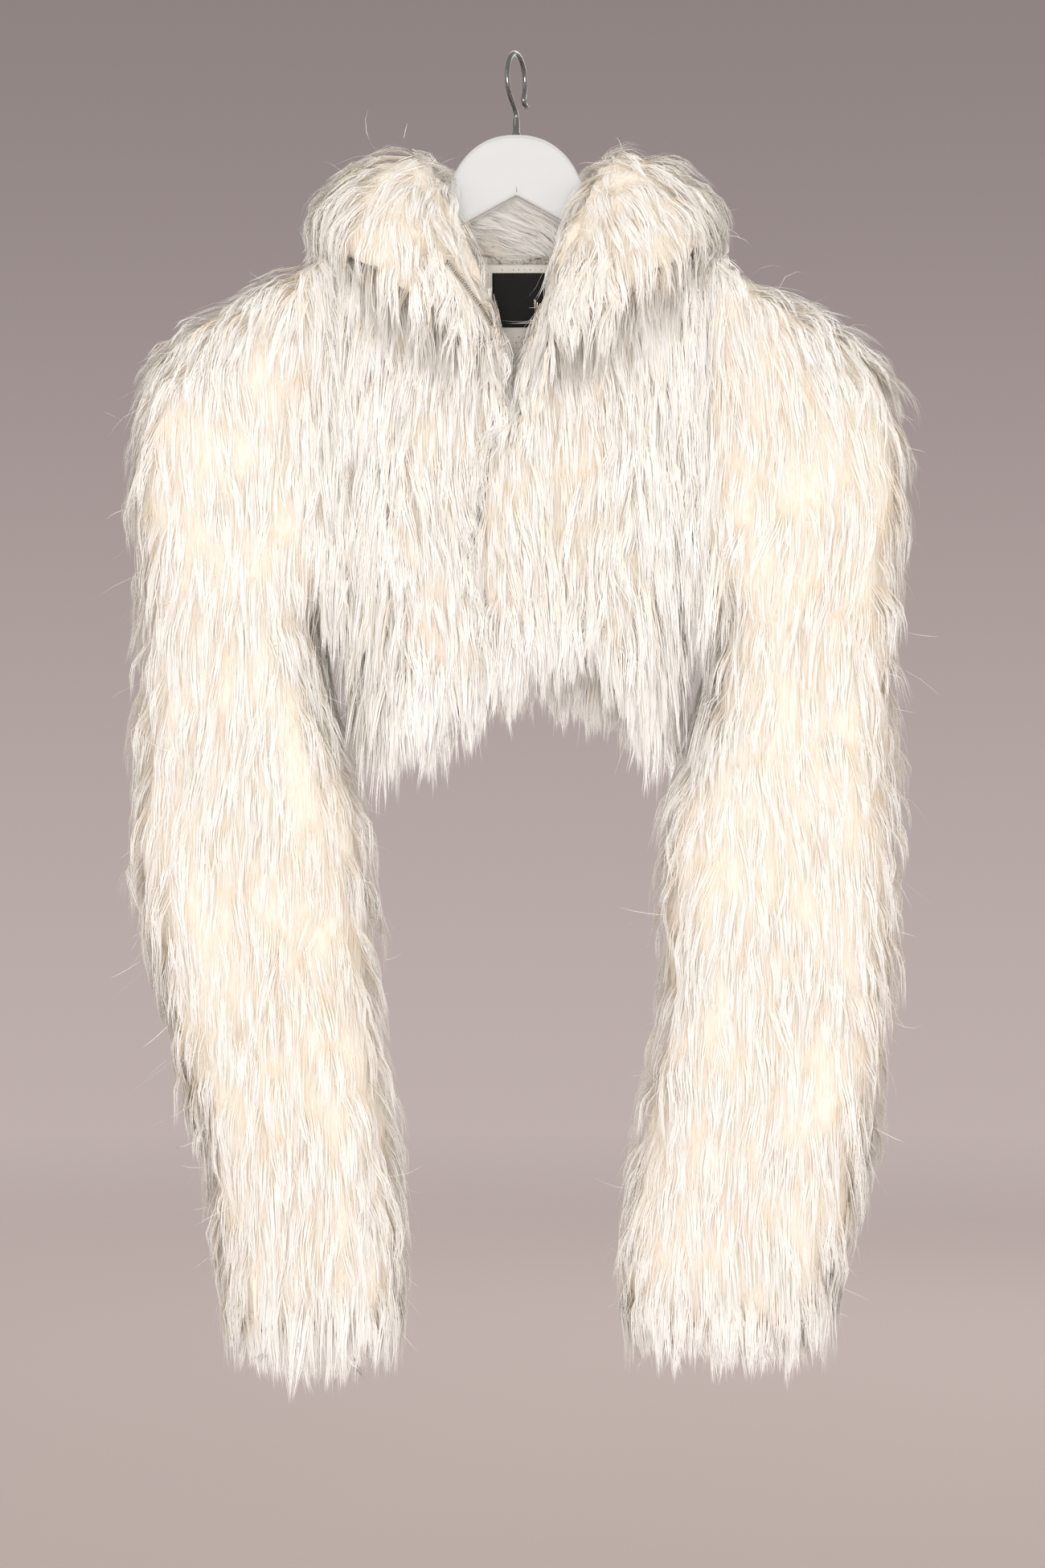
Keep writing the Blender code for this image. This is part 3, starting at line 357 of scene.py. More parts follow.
def label_paint(colour):
    """Black satin weave: fine diagonal ribs with a dull shine along them."""
    paint = Paint("black_woven", colour, 0.55, Specular_IOR_Level=0.22)
    rib = ((paint.place("X") + paint.place("Z")) * (2 * math.pi / 0.00055)).sine()
    cross = (paint.place("Z") * (2 * math.pi / 0.0011)).sine()
    lint = paint.cloud(900.0, detail=2.0)
    share = paint.ramp(lint, [(0.66, 0.0), (0.84, 0.3)])
    paint.set("Base Color", paint.mix(share, colour, (0.07, 0.065, 0.06)))
    paint.set("Roughness", 0.48 + rib * 0.08 + lint * 0.1)
    paint.bump(rib + cross * 0.6, 0.35, 0.00015)
    return paint.material


def hanger_paint(colour):
    """Satin paint on wood: a faint grain under it, and a beige painted shade, a little rougher, where it
    faces down.
    """
    paint = Paint("white_paint", colour, 0.38, Coat_Weight=0.15, Coat_Roughness=0.3)
    grain = paint.cloud(60.0, detail=5.0, stretch=(0.12, 1.0, 1.0))
    peel = paint.cloud(700.0, detail=2.0)
    facing = paint.add("ShaderNodeNewGeometry", {}, {}, out="Normal")
    upward = paint.add("ShaderNodeSeparateXYZ", {}, {0: facing}, out="Z")
    # Painted shade: beige where the board faces down
    underside_shade = paint.ramp(0 - upward, [(0.35, 0.0), (0.75, 1.0)])
    tint = paint.mix(grain, darker(colour, 0.965), colour)
    paint.set("Base Color", paint.mix(underside_shade, tint, (0.90, 0.82, 0.74)))
    paint.set("Roughness", 0.30 + grain * 0.10 + underside_shade * 0.2)
    paint.bump(grain * 0.7 + peel * 0.3, 0.16, 0.0006)
    return paint.material


def metal_paint(name, colour, roughness, scratch):
    """Bright metal with rubbed streaks in its roughness and a little tarnish."""
    paint = Paint(name, colour, roughness, 1.0)
    streak = paint.cloud(scratch, detail=4.0, stretch=(1.0, 1.0, 0.15))
    tarnish = paint.cloud(scratch * 0.35)
    dulled = paint.ramp(tarnish, [(0.45, 0.0), (0.75, 0.8)])
    paint.set("Base Color", paint.mix(dulled, colour, darker(colour, 0.72)))
    paint.set("Roughness", roughness * 0.7 + streak * roughness * 0.7)
    paint.bump(streak, 0.08, 0.0001)
    return paint.material


# ---------------------------------------------------------------- reading solids
def welded(name):
    """A node's mesh with its split corners joined again."""
    work = bmesh.new()
    work.from_mesh(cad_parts[name].data)
    bmesh.ops.remove_doubles(work, verts=work.verts, dist=1e-6)
    bmesh.ops.recalc_face_normals(work, faces=work.faces)
    work.normal_update()
    return work


def tree_of(works):
    """One search tree over several meshes."""
    points, faces = [], []
    for work in works:
        base = len(points)
        points += [vertex.co.copy() for vertex in work.verts]
        faces += [[base + vertex.index for vertex in face.verts] for face in work.faces]
    return BVHTree.FromPolygons(points, faces)


class Hide:
    """The outer faces of the fur solids: where pile grows and what it lies along."""

    RAY_START = 0.0004
    HOLLOW_REACH = 0.25          # across the inside of the body or a sleeve
    SEAM_REACH = 0.006           # a face this close to another piece bears no pile
    INWARD = -0.1                # a panel's face that looks more inward than this may be its inner one

    def __init__(self):
        self.works = {name: welded(name) for name in FUR_NODES}
        every = tree_of(self.works.values())
        body = tree_of(self.works[name] for name in PANELS)
        self.outer, self.bare = {}, {}
        for name, work in self.works.items():
            hollow = body if name in PANELS else tree_of([work])
            side = -1 if name.startswith("front") else 1
            outer = []
            for face in work.faces:
                inward = name not in PANELS or face.normal.y * side < self.INWARD
                if name == "collar" or not inward or not self._faces(hollow, face, self.HOLLOW_REACH):
                    outer.append(face)
            self.outer[name] = outer
            self.bare[name] = [face for face in outer if not self._faces(every, face, self.SEAM_REACH)]
        self._join()

    def _faces(self, tree, face, reach):
        """Whether something of a tree lies within reach in front of a face."""
        start = face.calc_center_median() + face.normal * self.RAY_START
        return tree.ray_cast(start, face.normal, reach)[0] is not None

    def _join(self):
        """One tree of all bare faces, with the smooth normals of their corners."""
        triangles = [face.verts for name in FUR_NODES for face in self.bare[name]]
        self.corners = [[vertex.co.copy() for vertex in verts] for verts in triangles]
        self.lean = [[vertex.normal.copy() for vertex in verts] for verts in triangles]
        points = [corner for corners in self.corners for corner in corners]
        faces = [[base, base + 1, base + 2] for base in range(0, len(points), 3)]
        self.tree = BVHTree.FromPolygons(points, faces)

    def nearest(self, point):
        """Place on the pile's outline, its smooth normal, height above it and side slip."""
        place, normal, index, distance = self.tree.find_nearest(point)
        smooth = barycentric_transform(place, *self.corners[index], *self.lean[index])
        smooth = smooth.normalized() if smooth.length > 0.1 else normal
        away = point - place
        height = away.dot(normal)
        slip = math.sqrt(max(distance * distance - height * height, 0.0))
        return place, smooth, height, slip

    def where(self, name, test):
        """The bare faces of a node whose centre and normal pass a test."""
        return [face for face in self.bare[name] if test(face.calc_center_median(), face.normal)]

    def armhole(self, name):
        """The faces of a panel or sleeve along the armhole's seam and below the armpit."""
        centres = [(face, face.calc_center_median()) for face in self.outer[name]]
        return [face for face, centre in centres
                if ARMHOLE_X[0] < abs(centre.x) < ARMHOLE_X[1] and ARMHOLE_Z[0] < centre.z < ARMHOLE_Z[1]]

    def beside(self, name, line, reach):
        """The faces of a node that lie near a line of points."""
        return [face for face in self.outer[name]
                if min((face.calc_center_median() - point).length for point in line) < reach]

    def roots(self, faces, count, rng):
        """Evenly spread places on some faces, with smooth normals."""
        if not faces or not count:
            return []
        areas = np.cumsum([face.calc_area() for face in faces])
        picks = (np.arange(count) + rng.random(count)) / count * areas[-1]
        chosen = np.minimum(np.searchsorted(areas, picks), len(faces) - 1)
        found = []
        for pick in chosen:
            u, v = rng.random(2)
            if u + v > 1:
                u, v = 1 - u, 1 - v
            a, b, c = faces[pick].verts
            place = a.co + (b.co - a.co) * u + (c.co - a.co) * v
            normal = a.normal + (b.normal - a.normal) * u + (c.normal - a.normal) * v
            found.append((place, normal.normalized()))
        return found


HIDE = Hide()


# ------------------------------------------------------------------- pile on hide
LOCK_POINTS = 9              # of a lock's own line
STRANDS = 4                  # thin strings of hair that one lock falls into
Cast = namedtuple("Cast", "locks crown edge gap strays hairs points spread curl")

# Where locks are rooted
CROWN_TILT = 0.42            # faces that look up more than this carry extra locks
EDGE_BAND = 0.040            # above a hem or cuff, where the locks that hang past it are rooted
EDGE_REACH = 0.045           # how far they hang where no lock of the solids lies in the column
COLUMN = 0.009               # width of the columns in which a hem's lowest places are looked up
GAP_LEAN = {"sleeve": (-0.15, -0.10), "front": (0.30, -0.20), "back": (0.25, 0.12)}
RIM_REACH, RIM_LOCKS = 0.017, 100          # beside the open zip, on each side of the collar
RIM_LEAN = Vector((-0.10, -0.30, -0.25))
NAPE_FACING, NAPE_DEPTH, NAPE_HALF, NAPE_LOCKS = -0.3, 0.02, 0.055, 70
SKIRT_TOP, SKIRT_FACING, SKIRT_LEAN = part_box("collar")[0].z + 0.060, 0.3, 0.16
NOTCH_LINE = [Vector((ZIP_X, -0.034, z)) for z in (-0.232, -0.245, -0.258, -0.270)]
NOTCH_REACH, NOTCH_LOCKS = 0.022, 34
NOTCH_LEAN = {"front_left": Vector((-0.50, -0.35, -1)), "front_right": Vector((0.42, -0.35, -1))}

# How a lock lies
DRIFTS = ((9.0, 0.24), (34.0, 0.14))       # pitch and size of the wander in the combing
COLLAR_CENTRE = Vector((0.0, 0.005, -0.14))
COLLAR_SPREAD, COLLAR_DRIFT = 0.9, 2.6
COLLAR_FRONT = -0.020        # the collar's pile hangs straighter in front of this depth,
FRONT_SPREADS = (0.35, 0.65)               # more so on its right end than on its left
PARTING, PARTING_WANDER, PARTING_PITCH = -0.30, 1.1, 70.0      # of pile combed out and in
NAPE_SWEEP = Vector((1.6, 0, 0.45))        # combs the collar's inside at the nape sideways
REACH = {"coat": 1.0, "edge": 1.0, "gap": 1.25, "rim": 0.65, "skirt": 1.0}
SHORTEST = 0.022             # length of the shortest lock
CREST = 0.003                # height of a lock's back above the pile's outline
RISE = 0.40                  # share of a lock in which it comes up out of the underwool
FLARE = 0.0045               # how far the tips of some locks stand off the outline
LEAN = 0.10                  # how much each lock goes its own way
LEAVE_SLIP, LEAVE_FACING = 0.0025, -0.45   # a lock hangs free past an edge or over an underside
LEAVE_FALL, FREE_FALL, FREE_LEAN = 0.6, 0.45, 0.25
REST_SLIP, REST_DEPTH, REST_LIFT = 0.002, -0.030, 0.002    # and lies on what it falls into

# How hairs lie in a lock
STRAY_SHARE = 0.06           # of the hairs leave their lock
FLAT, TURNED_FLAT = 0.34, 0.5              # a lock and its waves are flatter than they are wide
FUZZ, STRAY_FUZZ = 0.0011, 3.0
TAPER_AT, TAPER = (0, 0.25, 0.6, 0.85, 1), (0.75, 1.0, 0.85, 0.5, 0)
SOFT_UP = (0.65, 1.0, 0.50)  # evens out the pile's shading on its sides and undersides
RIBBON_LIT, PILE_LIT = 0.18, 0.82          # shares of a ribbon's own face and the pile's in its shading

# What hair keeps clear of
PULL_AXIS = (ZIP_X, -0.0240, -0.2375)
PULL_HALF, PULL_REACH, PULL_ROOM = 0.0036, 0.0262, 0.0016
PULL_TURNS = (0.0, math.radians(165))      # at rest and lifted
TEETH_BARE = 0.0027          # half width of the parting over the open teeth
TEETH_BACK = 0.004           # hair farther behind the teeth than this stays
BARE_FROM = 3                # point of the open row at which the parting starts
PROUD_SHARE, PROUD = 0.030, 0.0075         # how far hair may stand out of the solids' box
LABEL_FRONT, LABEL_BACK = (0.001, -0.045, -0.001), (0.0, 0.01, 0.0)
LABEL_TONE = 0.88            # only hairs of a paler tone than this fall in front of the label


class Edge:
    """Where a panel's or sleeve's cloth ends and how far its locks hang past that."""

    def __init__(self, name):
        self.feet = [vertex.co.copy() for face in HIDE.bare[name] for vertex in face.verts]
        self.tips = [corner.co.copy() for node in LOCK_NODES[name]
                     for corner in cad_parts[node].data.vertices]
        self.foot_of, self.tip_of = {}, {}

    def _lowest(self, points, x, spare):
        near = [point.z for point in points if abs(point.x - x) < COLUMN]
        return min(near) if near else spare

    def foot(self, x):
        column = round(x / COLUMN)
        if column not in self.foot_of:
            self.foot_of[column] = self._lowest(self.feet, column * COLUMN, -1.0)
        return self.foot_of[column]

    def tip(self, x):
        column = round(x / COLUMN)
        if column not in self.tip_of:
            self.tip_of[column] = self._lowest(self.tips, column * COLUMN, self.foot(x) - EDGE_REACH)
        return self.tip_of[column]


EDGES = {name: Edge(name) for name in PANELS + SLEEVES}


def flow_at(name, place, normal):
    """Direction in which the pile is combed: down, outwards over the collar, in slow drifts."""
    drift = Vector()
    for pitch, size in DRIFTS:
        drift += noise.noise_vector(place * pitch) * size
    flow = DOWN.copy()
    if name == "collar":
        radial = Vector((place.x - COLLAR_CENTRE.x, place.y - COLLAR_CENTRE.y, 0)).normalized()
        parting = PARTING + PARTING_WANDER * noise.noise(place * PARTING_PITCH)
        outward = 1.0 if normal.dot(radial) > parting else -1.0
        front_spread = FRONT_SPREADS[0] if place.x < 0 else FRONT_SPREADS[1]
        flow += radial * outward * (COLLAR_SPREAD if place.y > COLLAR_FRONT else front_spread)
        if place.y > 0 and normal.y < NAPE_FACING:
            flow += NAPE_SWEEP
        drift = drift * COLLAR_DRIFT
    flow += drift
    flow -= normal * flow.dot(normal)
    if flow.length < 0.05:
        flow = DOWN - normal * DOWN.dot(normal)
    return flow.normalized()


def lock_line(name, root, normal, length, crest, start_depth, loose, rng):
    """Points along one lock: out of the underwool, along the outline, then free.

    A lock with a loose heading hangs free from its root.
    """
    flare = max(rng.normal(0, FLARE), 0.0)
    step = length / (LOCK_POINTS - 1)
    lean = Vector(rng.normal(0, LEAN, 3))
    place, free = root.copy(), loose is not None
    if free:
        flow = (loose + lean).normalized()
    point = root - normal * start_depth
    line, ups = [point.copy()], [normal.copy()]
    for number in range(1, LOCK_POINTS):
        share = number / (LOCK_POINTS - 1)
        if not free:
            flow = (flow_at(name, place, normal) + lean).normalized()
            flow = (flow - normal * flow.dot(normal)).normalized()
            place, normal, _, slip = HIDE.nearest(place + flow * step)
            rise = min(share / RISE, 1.0)
            rise = rise * rise * (3 - 2 * rise)
            level = -start_depth + (start_depth + crest) * rise + flare * share * share
            free = slip > LEAVE_SLIP or normal.z < LEAVE_FACING
            if free:
                flow = (flow + DOWN * LEAVE_FALL).normalized()
            else:
                point = place + normal * level
        if free:
            flow = (flow + DOWN * FREE_FALL + lean * FREE_LEAN).normalized()
            point = point + flow * step
            spot, up, height, slip = HIDE.nearest(point)
            if slip < REST_SLIP and REST_DEPTH < height < REST_LIFT:
                point = spot + up * REST_LIFT
                normal = up
        line.append(point.copy())
        ups.append(normal.copy())
    return line, ups


def stray_line(root, normal, length, rng):
    """One fine hair that stands off the pile and bends down at its end."""
    step = length / (LOCK_POINTS - 1)
    heading = (normal * 0.7 + Vector(rng.normal(0, 0.5, 3)) + DOWN * 0.6).normalized()
    turn = Vector(rng.normal(0, 0.13, 3)) + DOWN * rng.uniform(0.05, 0.22)
    point = root.copy()
    line, ups = [point.copy()], [normal.copy()]
    for _ in range(1, LOCK_POINTS):
        heading = (heading + turn).normalized()
        point = point + heading * step
        line.append(point.copy())
        ups.append(normal.copy())
    return line, ups


def lock_roots(name, cast, rng):
    """Where a node's locks start: root, normal, heading of a free lock or None, and kind."""
    found = []

    def root_on(faces, count, kind, heading=None):
        found.extend((*root, heading, kind) for root in HIDE.roots(faces, count, rng))

    root_on(HIDE.bare[name], cast.locks, "coat")
    root_on(HIDE.where(name, lambda centre, normal: normal.z > CROWN_TILT), cast.crown, "coat")
    if name == "collar":
        for side in (-1, 1):
            line = open_edge(side)[0]
            heading = (line[1] - line[-1]).normalized() + RIM_LEAN * Vector((side, 1, 1))
            root_on(HIDE.beside(name, line[1:], RIM_REACH), RIM_LOCKS, "rim", heading)
        root_on(HIDE.where(name, lambda centre, normal: normal.y < NAPE_FACING and centre.y > NAPE_DEPTH
                           and abs(centre.x) < NAPE_HALF), NAPE_LOCKS, "rim")
        skirt = HIDE.where(name, lambda centre, normal: normal.z < SKIRT_FACING and centre.z < SKIRT_TOP)
        for root, normal in HIDE.roots(skirt, cast.edge, rng):
            inward = Vector((-root.x, -root.y, 0)).normalized() * SKIRT_LEAN
            found.append((root, normal, DOWN + inward, "skirt"))
        return found
    foot = EDGES[name].foot
    root_on(HIDE.where(name, lambda centre, normal: centre.z < foot(centre.x) + EDGE_BAND), cast.edge, "edge")
    across, forward = GAP_LEAN[name.split("_")[0]]
    for root, normal in HIDE.roots(HIDE.armhole(name), cast.gap, rng):
        heading = Vector((math.copysign(across, root.x * across), forward, -1))
        found.append((root, normal, heading, "gap"))
    if name in NOTCH_LEAN:
        root_on(HIDE.beside(name, NOTCH_LINE, NOTCH_REACH), NOTCH_LOCKS, "rim", NOTCH_LEAN[name])
    return found


def plain(points):
    """Vectors as tuples, which arrays are made from faster."""
    return [tuple(point) for point in points]


def lay_locks(name, cast, length, settings, rng):
    """Lines, up directions and tightness of all the locks of one node, as arrays."""
    lines, ups, tight = [], [], []
    for root, normal, heading, kind in lock_roots(name, cast, rng):
        reach = length * REACH[kind] * rng.uniform(0.72, 1.12)
        if kind in ("coat", "edge") and name in EDGES:
            hang = max(root.z - EDGES[name].tip(root.x), SHORTEST)
            reach = hang * rng.uniform(0.72, 1.02) if kind == "edge" else min(reach, hang)
        crest = CREST * rng.normal(0.1, 1.0)
        depth = settings.pile_depth * rng.uniform(0.75, 1.1)
        line, up = lock_line(name, root, normal, reach, crest, depth, heading, rng)
        lines.append(plain(line))
        ups.append(plain(up))
        tight.append(kind == "edge")
    return np.array(lines), np.array(ups), np.array(tight)


def unit(vectors):
    """Vectors of an array at length 1."""
    return vectors / np.maximum(np.linalg.norm(vectors, axis=-1, keepdims=True), 1e-9)


def sample_lines(lines, shares):
    """Each line read at shares of its length; shares has a row for each line."""
    places = np.clip(shares, 0, 0.9999) * (lines.shape[1] - 1)
    low = places.astype(int)
    part = (places - low)[..., None]
    rows = np.arange(len(lines))[:, None]
    return lines[rows, low] * (1 - part) + lines[rows, low + 1] * part


Hairs = namedtuple("Hairs", "points face up width shares tone")


def hairs_from_locks(lines, ups, tight, cast, settings, rng):
    """Hairs in strands round their lock's line, each strand drawn together at its tip."""
    locks = len(lines)
    owner = np.repeat(np.arange(locks), cast.hairs)
    count = len(owner)
    strand = owner * STRANDS + rng.integers(0, STRANDS, count)

    def shared_in_strand(low, high):
        return rng.uniform(low, high, locks * STRANDS)[strand][:, None]

    along = np.linspace(0, 1, cast.points)[None, :]
    reach = shared_in_strand(0.58, 1.0) * rng.uniform(0.84, 1.0, (count, 1))
    stray = rng.random((count, 1)) < STRAY_SHARE
    start = rng.uniform(0.0, 0.25, (count, 1)) * (rng.random((count, 1)) < 0.6)
    shares = start + (reach - start) * along
    centre = sample_lines(lines[owner], shares)
    up = unit(sample_lines(ups[owner], shares))
    ahead = unit(np.gradient(centre, axis=1))
    across = unit(np.cross(ahead, up))
    up = np.cross(across, ahead)
    close = tight[owner][:, None]
    side_offset = up_offset = np.zeros((count, 1))
    own = rng.random((2, count, 1))
    shared = rng.random((2, locks * STRANDS))[:, strand][..., None]
    layers = ((shared, 1.0, np.where(close, 0.85, 0.45), 1.5), (own, 0.42, 0.93, 1.1))
    for (turn, size), spread, pull, power in layers:
        radius = np.sqrt(size) * cast.spread * spread * np.where(close, 0.8, 1.0)
        gather = np.where(stray, 1 + 0.7 * shares, 1 - pull * shares ** power)
        side_offset = side_offset + np.cos(2 * np.pi * turn) * radius * gather
        up_offset = up_offset + np.sin(2 * np.pi * turn) * radius * FLAT * gather
    turns = shared_in_strand(0.45, 0.95)
    phase = shared_in_strand(0, 2 * np.pi) + rng.normal(0, 0.25, (count, 1))
    swing = cast.curl * shares * shared_in_strand(0.3, 1.5)
    side_offset = side_offset + swing * np.sin(2 * np.pi * turns * shares + phase)
    up_offset = up_offset + TURNED_FLAT * swing * np.cos(2 * np.pi * turns * shares + phase)
    fuzz = rng.normal(0, FUZZ, (count, 1, 3)) * shares[..., None] ** 1.5
    fuzz = np.where(stray[..., None], fuzz * STRAY_FUZZ, fuzz)
    points = centre + across * side_offset[..., None] + up * up_offset[..., None] + fuzz
    tone = np.clip(rng.normal(0.55, 0.20, locks * STRANDS)[strand] + rng.normal(0, 0.12, count), 0, 1)
    roll = rng.uniform(-0.75, 0.75, (count, 1, 1))
    face = up * np.cos(roll) + across * np.sin(roll)
    width = settings.hair_width * rng.uniform(0.6, 1.25, (count, 1))
    width = np.where(stray, width * 0.55, width)
    return Hairs(points, face, up, width, shares, tone)


def stray_hairs(name, cast, settings, rng):
    """Single fine hairs that break the outline."""
    lines, ups = [], []
    for root, normal in HIDE.roots(HIDE.bare[name], cast.strays, rng):
        line, up = stray_line(root, normal, rng.uniform(0.018, 0.055), rng)
        lines.append(plain(line))
        ups.append(plain(up))
    single = cast._replace(hairs=1, spread=0.0, curl=0.0015)
    tight = np.zeros(len(lines), bool)
    hairs = hairs_from_locks(np.array(lines), np.array(ups), tight, single, settings, rng)
    return hairs._replace(width=hairs.width * 0.5)


def keep_clear(points):
    """Which hairs leave room for the pull at rest and lifted, and for the open teeth on the right."""
    steps = np.linspace(0, 1, 5)[None, None, :, None]
    sample = points[:, :-1, None] * (1 - steps) + points[:, 1:, None] * steps
    sample = sample.reshape(len(points), -1, 3)
    away = sample - np.array(PULL_AXIS)
    swept = np.zeros(sample.shape[:2], bool)
    for turn in PULL_TURNS:
        along = -away[..., 1] * math.sin(turn) - away[..., 2] * math.cos(turn)
        off = away[..., 1] * math.cos(turn) - away[..., 2] * math.sin(turn)
        beside = (np.abs(away[..., 0]) < PULL_HALF) & (np.abs(off) < PULL_ROOM)
        swept |= beside & (np.abs(along - PULL_REACH / 2) < PULL_REACH / 2 + PULL_ROOM)
    line = np.array(plain(open_edge(-1)[0][BARE_FROM:]))
    for first, second in zip(line, line[1:]):
        run = (second - first)[[0, 2]]
        offset = sample[..., [0, 2]] - first[[0, 2]]
        share = np.clip(offset @ run / (run @ run), 0, 1)
        beside = np.linalg.norm(offset - share[..., None] * run, axis=-1)
        swept |= (beside < TEETH_BARE) & (sample[..., 1] < first[1] + TEETH_BACK)
    return ~np.any(swept, axis=1)


def off_label(hairs):
    """Which hairs leave the neck label bare: all but a few that fall in front of it."""
    low, high = np.array(plain(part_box("neck_label"))) + (LABEL_FRONT, LABEL_BACK)
    over = np.any(np.all((hairs.points > low) & (hairs.points < high), axis=2), axis=1)
    return ~over | (hairs.tone > LABEL_TONE)


def within_reach(points):
    """Which hairs stay close enough to the solids' box."""
    low, high = np.array(plain(CAD_BOX))
    room = PROUD_SHARE * (high - low) + PROUD
    return np.all((points > low - room) & (points < high + room), axis=(1, 2))


def ribbon_mesh(name, hairs):
    """Tapering ribbons, one for each hair, as a single triangle mesh."""
    points = hairs.points
    count, rows = points.shape[:2]
    ahead = unit(np.gradient(points, axis=1))
    across = unit(np.cross(ahead, hairs.face))
    along = np.linspace(0, 1, rows)
    taper = np.interp(along, TAPER_AT, TAPER)
    half = across * (hairs.width[..., None] * taper[None, :, None] / 2)
    up = unit(hairs.up * np.array(SOFT_UP))
    lit = unit(np.cross(across, ahead) * RIBBON_LIT + up * PILE_LIT)

    def per_corner(rows_of_pairs, tips):
        pairs = np.stack(rows_of_pairs, axis=2).reshape(count, 2 * (rows - 1), -1)
        return np.concatenate([pairs, tips[:, None]], axis=1)

    corners = per_corner([points[:, :-1] - half[:, :-1], points[:, :-1] + half[:, :-1]], points[:, -1])
    normals = per_corner([lit[:, :-1], lit[:, :-1]], lit[:, -1])
    share = hairs.shares[..., None]
    shares = per_corner([share[:, :-1], share[:, :-1]], share[:, -1])
    per_hair = corners.shape[1]
    last = per_hair - 3
    pattern = [corner for a in range(0, last, 2) for corner in ((a, a + 1, a + 3), (a, a + 3, a + 2))]
    pattern.append((last, last + 1, last + 2))
    triangles = (np.arange(count)[:, None, None] * per_hair + np.array(pattern)[None]).reshape(-1)
    mesh = bpy.data.meshes.new(name)
    mesh.vertices.add(count * per_hair)
    mesh.vertices.foreach_set("co", corners.astype(np.float32).ravel())
    mesh.loops.add(len(triangles))
    mesh.loops.foreach_set("vertex_index", triangles.astype(np.int32))
    mesh.polygons.add(len(triangles) // 3)
    mesh.polygons.foreach_set("loop_start", np.arange(0, len(triangles), 3, dtype=np.int32))
    mesh.update(calc_edges=True)
    mesh.shade_smooth()
    mesh.normals_split_custom_set_from_vertices(normals.reshape(-1, 3).tolist())
    tones = np.repeat(hairs.tone[:, None], per_hair, axis=1)
    for key, value in (("along", shares), ("tone", tones)):
        layer = mesh.attributes.new(key, "FLOAT", "POINT")
        layer.data.foreach_set("value", value.astype(np.float32).ravel())
    return mesh


def grow_fur(piece_name, node_name, cast, length, paint, settings, seed):
    """All the hair of one fur node as one piece."""
    rng = np.random.default_rng(seed)
    lines, ups, tight = lay_locks(node_name, cast, length, settings, rng)
    locks = hairs_from_locks(lines, ups, tight, cast, settings, rng)
    strays = stray_hairs(node_name, cast, settings, rng)
    hairs = Hairs(*(np.concatenate(pair) for pair in zip(locks, strays)))
    kept = keep_clear(hairs.points) & within_reach(hairs.points) & off_label(hairs)
    mesh = ribbon_mesh(piece_name, Hairs(*(values[kept] for values in hairs)))
    return put(piece_name, mesh, paint)


# ----------------------------------------------------------------- shared making
def put(name, mesh, material):
    """A finished mesh as a piece that rides on the garment."""
    mesh.materials.clear()
    mesh.materials.append(material)
    piece = bpy.data.objects.new(name, mesh)
    bpy.context.scene.collection.objects.link(piece)
    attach(piece, BODY)
    return piece


def mesh_from(work, name):
    """A bmesh as a mesh, and freed."""
    mesh = bpy.data.meshes.new(name)
    work.to_mesh(mesh)
    work.free()
    return mesh


def put_work(name, work, material):
    """What was built in a bmesh as a piece that rides on the garment."""
    return put(name, mesh_from(work, name), material)


def face_rows(work, rows):
    """Quads between each row of vertices and the next."""
    for upper, lower in zip(rows, rows[1:]):
        for quad in zip(upper, upper[1:], lower[1:], lower):
            work.faces.new(quad)


def face_rings(work, rings):
    """Quads between closed rings of vertices."""
    face_rows(work, [ring + ring[:1] for ring in rings])


def applied(piece):
    """The piece's modifiers made final in its mesh."""
    bpy.context.view_layer.update()
    deps = bpy.context.evaluated_depsgraph_get()
    mesh = bpy.data.meshes.new_from_object(piece.evaluated_get(deps))
    piece.modifiers.clear()
    piece.data = mesh
    return piece


def thicken(piece, thickness, offset=-1.0):
    """A sheet given its thickness, on one side of it."""
    skin = piece.modifiers.new("thickness", "SOLIDIFY")
    skin.thickness = thickness
    skin.offset = offset
    return applied(piece)


# --------------------------------------------------------------- cloth and underwool
def cloth_shell(name, material, settings):
    """The knitted ground: a thin sheet over the solid's inner face."""
    work = HIDE.works[name].copy()
    work.faces.ensure_lookup_table()
    drop = [work.faces[face.index] for face in HIDE.outer[name]]
    bmesh.ops.delete(work, geom=drop, context="FACES")
    loose = [vertex for vertex in work.verts if not vertex.link_faces]
    bmesh.ops.delete(work, geom=loose, context="VERTS")
    piece = thicken(put_work(name + "_cloth", work, material), settings.cloth_thickness)
    piece.data.shade_smooth()
    return piece


CLUMP_SIZE, CLUMP_HEIGHT, CLUMP_LEVEL = 0.012, 0.006, 0.55
WOOL_GAP = 0.0005            # between the cloth and the wool on it


def underwool(name, material, settings, cloth_thickness):
    """The dense wool between the cloth and the locks, in soft clumps."""
    work = HIDE.works[name].copy()
    work.faces.ensure_lookup_table()
    outer = {face.index for face in HIDE.outer[name]}
    for vertex in work.verts:
        share = sum(face.index in outer for face in vertex.link_faces) / len(vertex.link_faces)
        depth = settings.pile_depth if share > 0.5 else cloth_thickness + WOOL_GAP
        vertex.co += vertex.normal * -depth
    piece = put_work(name + "_underwool", work, material)
    finer = piece.modifiers.new("finer", "SUBSURF")
    finer.subdivision_type = "SIMPLE"
    finer.levels = finer.render_levels = 1
    texture = bpy.data.textures.new(name + "_clumps", "CLOUDS")
    texture.noise_scale = CLUMP_SIZE
    clumps = piece.modifiers.new("clumps", "DISPLACE")
    clumps.texture = texture
    clumps.strength = CLUMP_HEIGHT
    clumps.mid_level = CLUMP_LEVEL
    applied(piece).data.shade_smooth()
    return piece


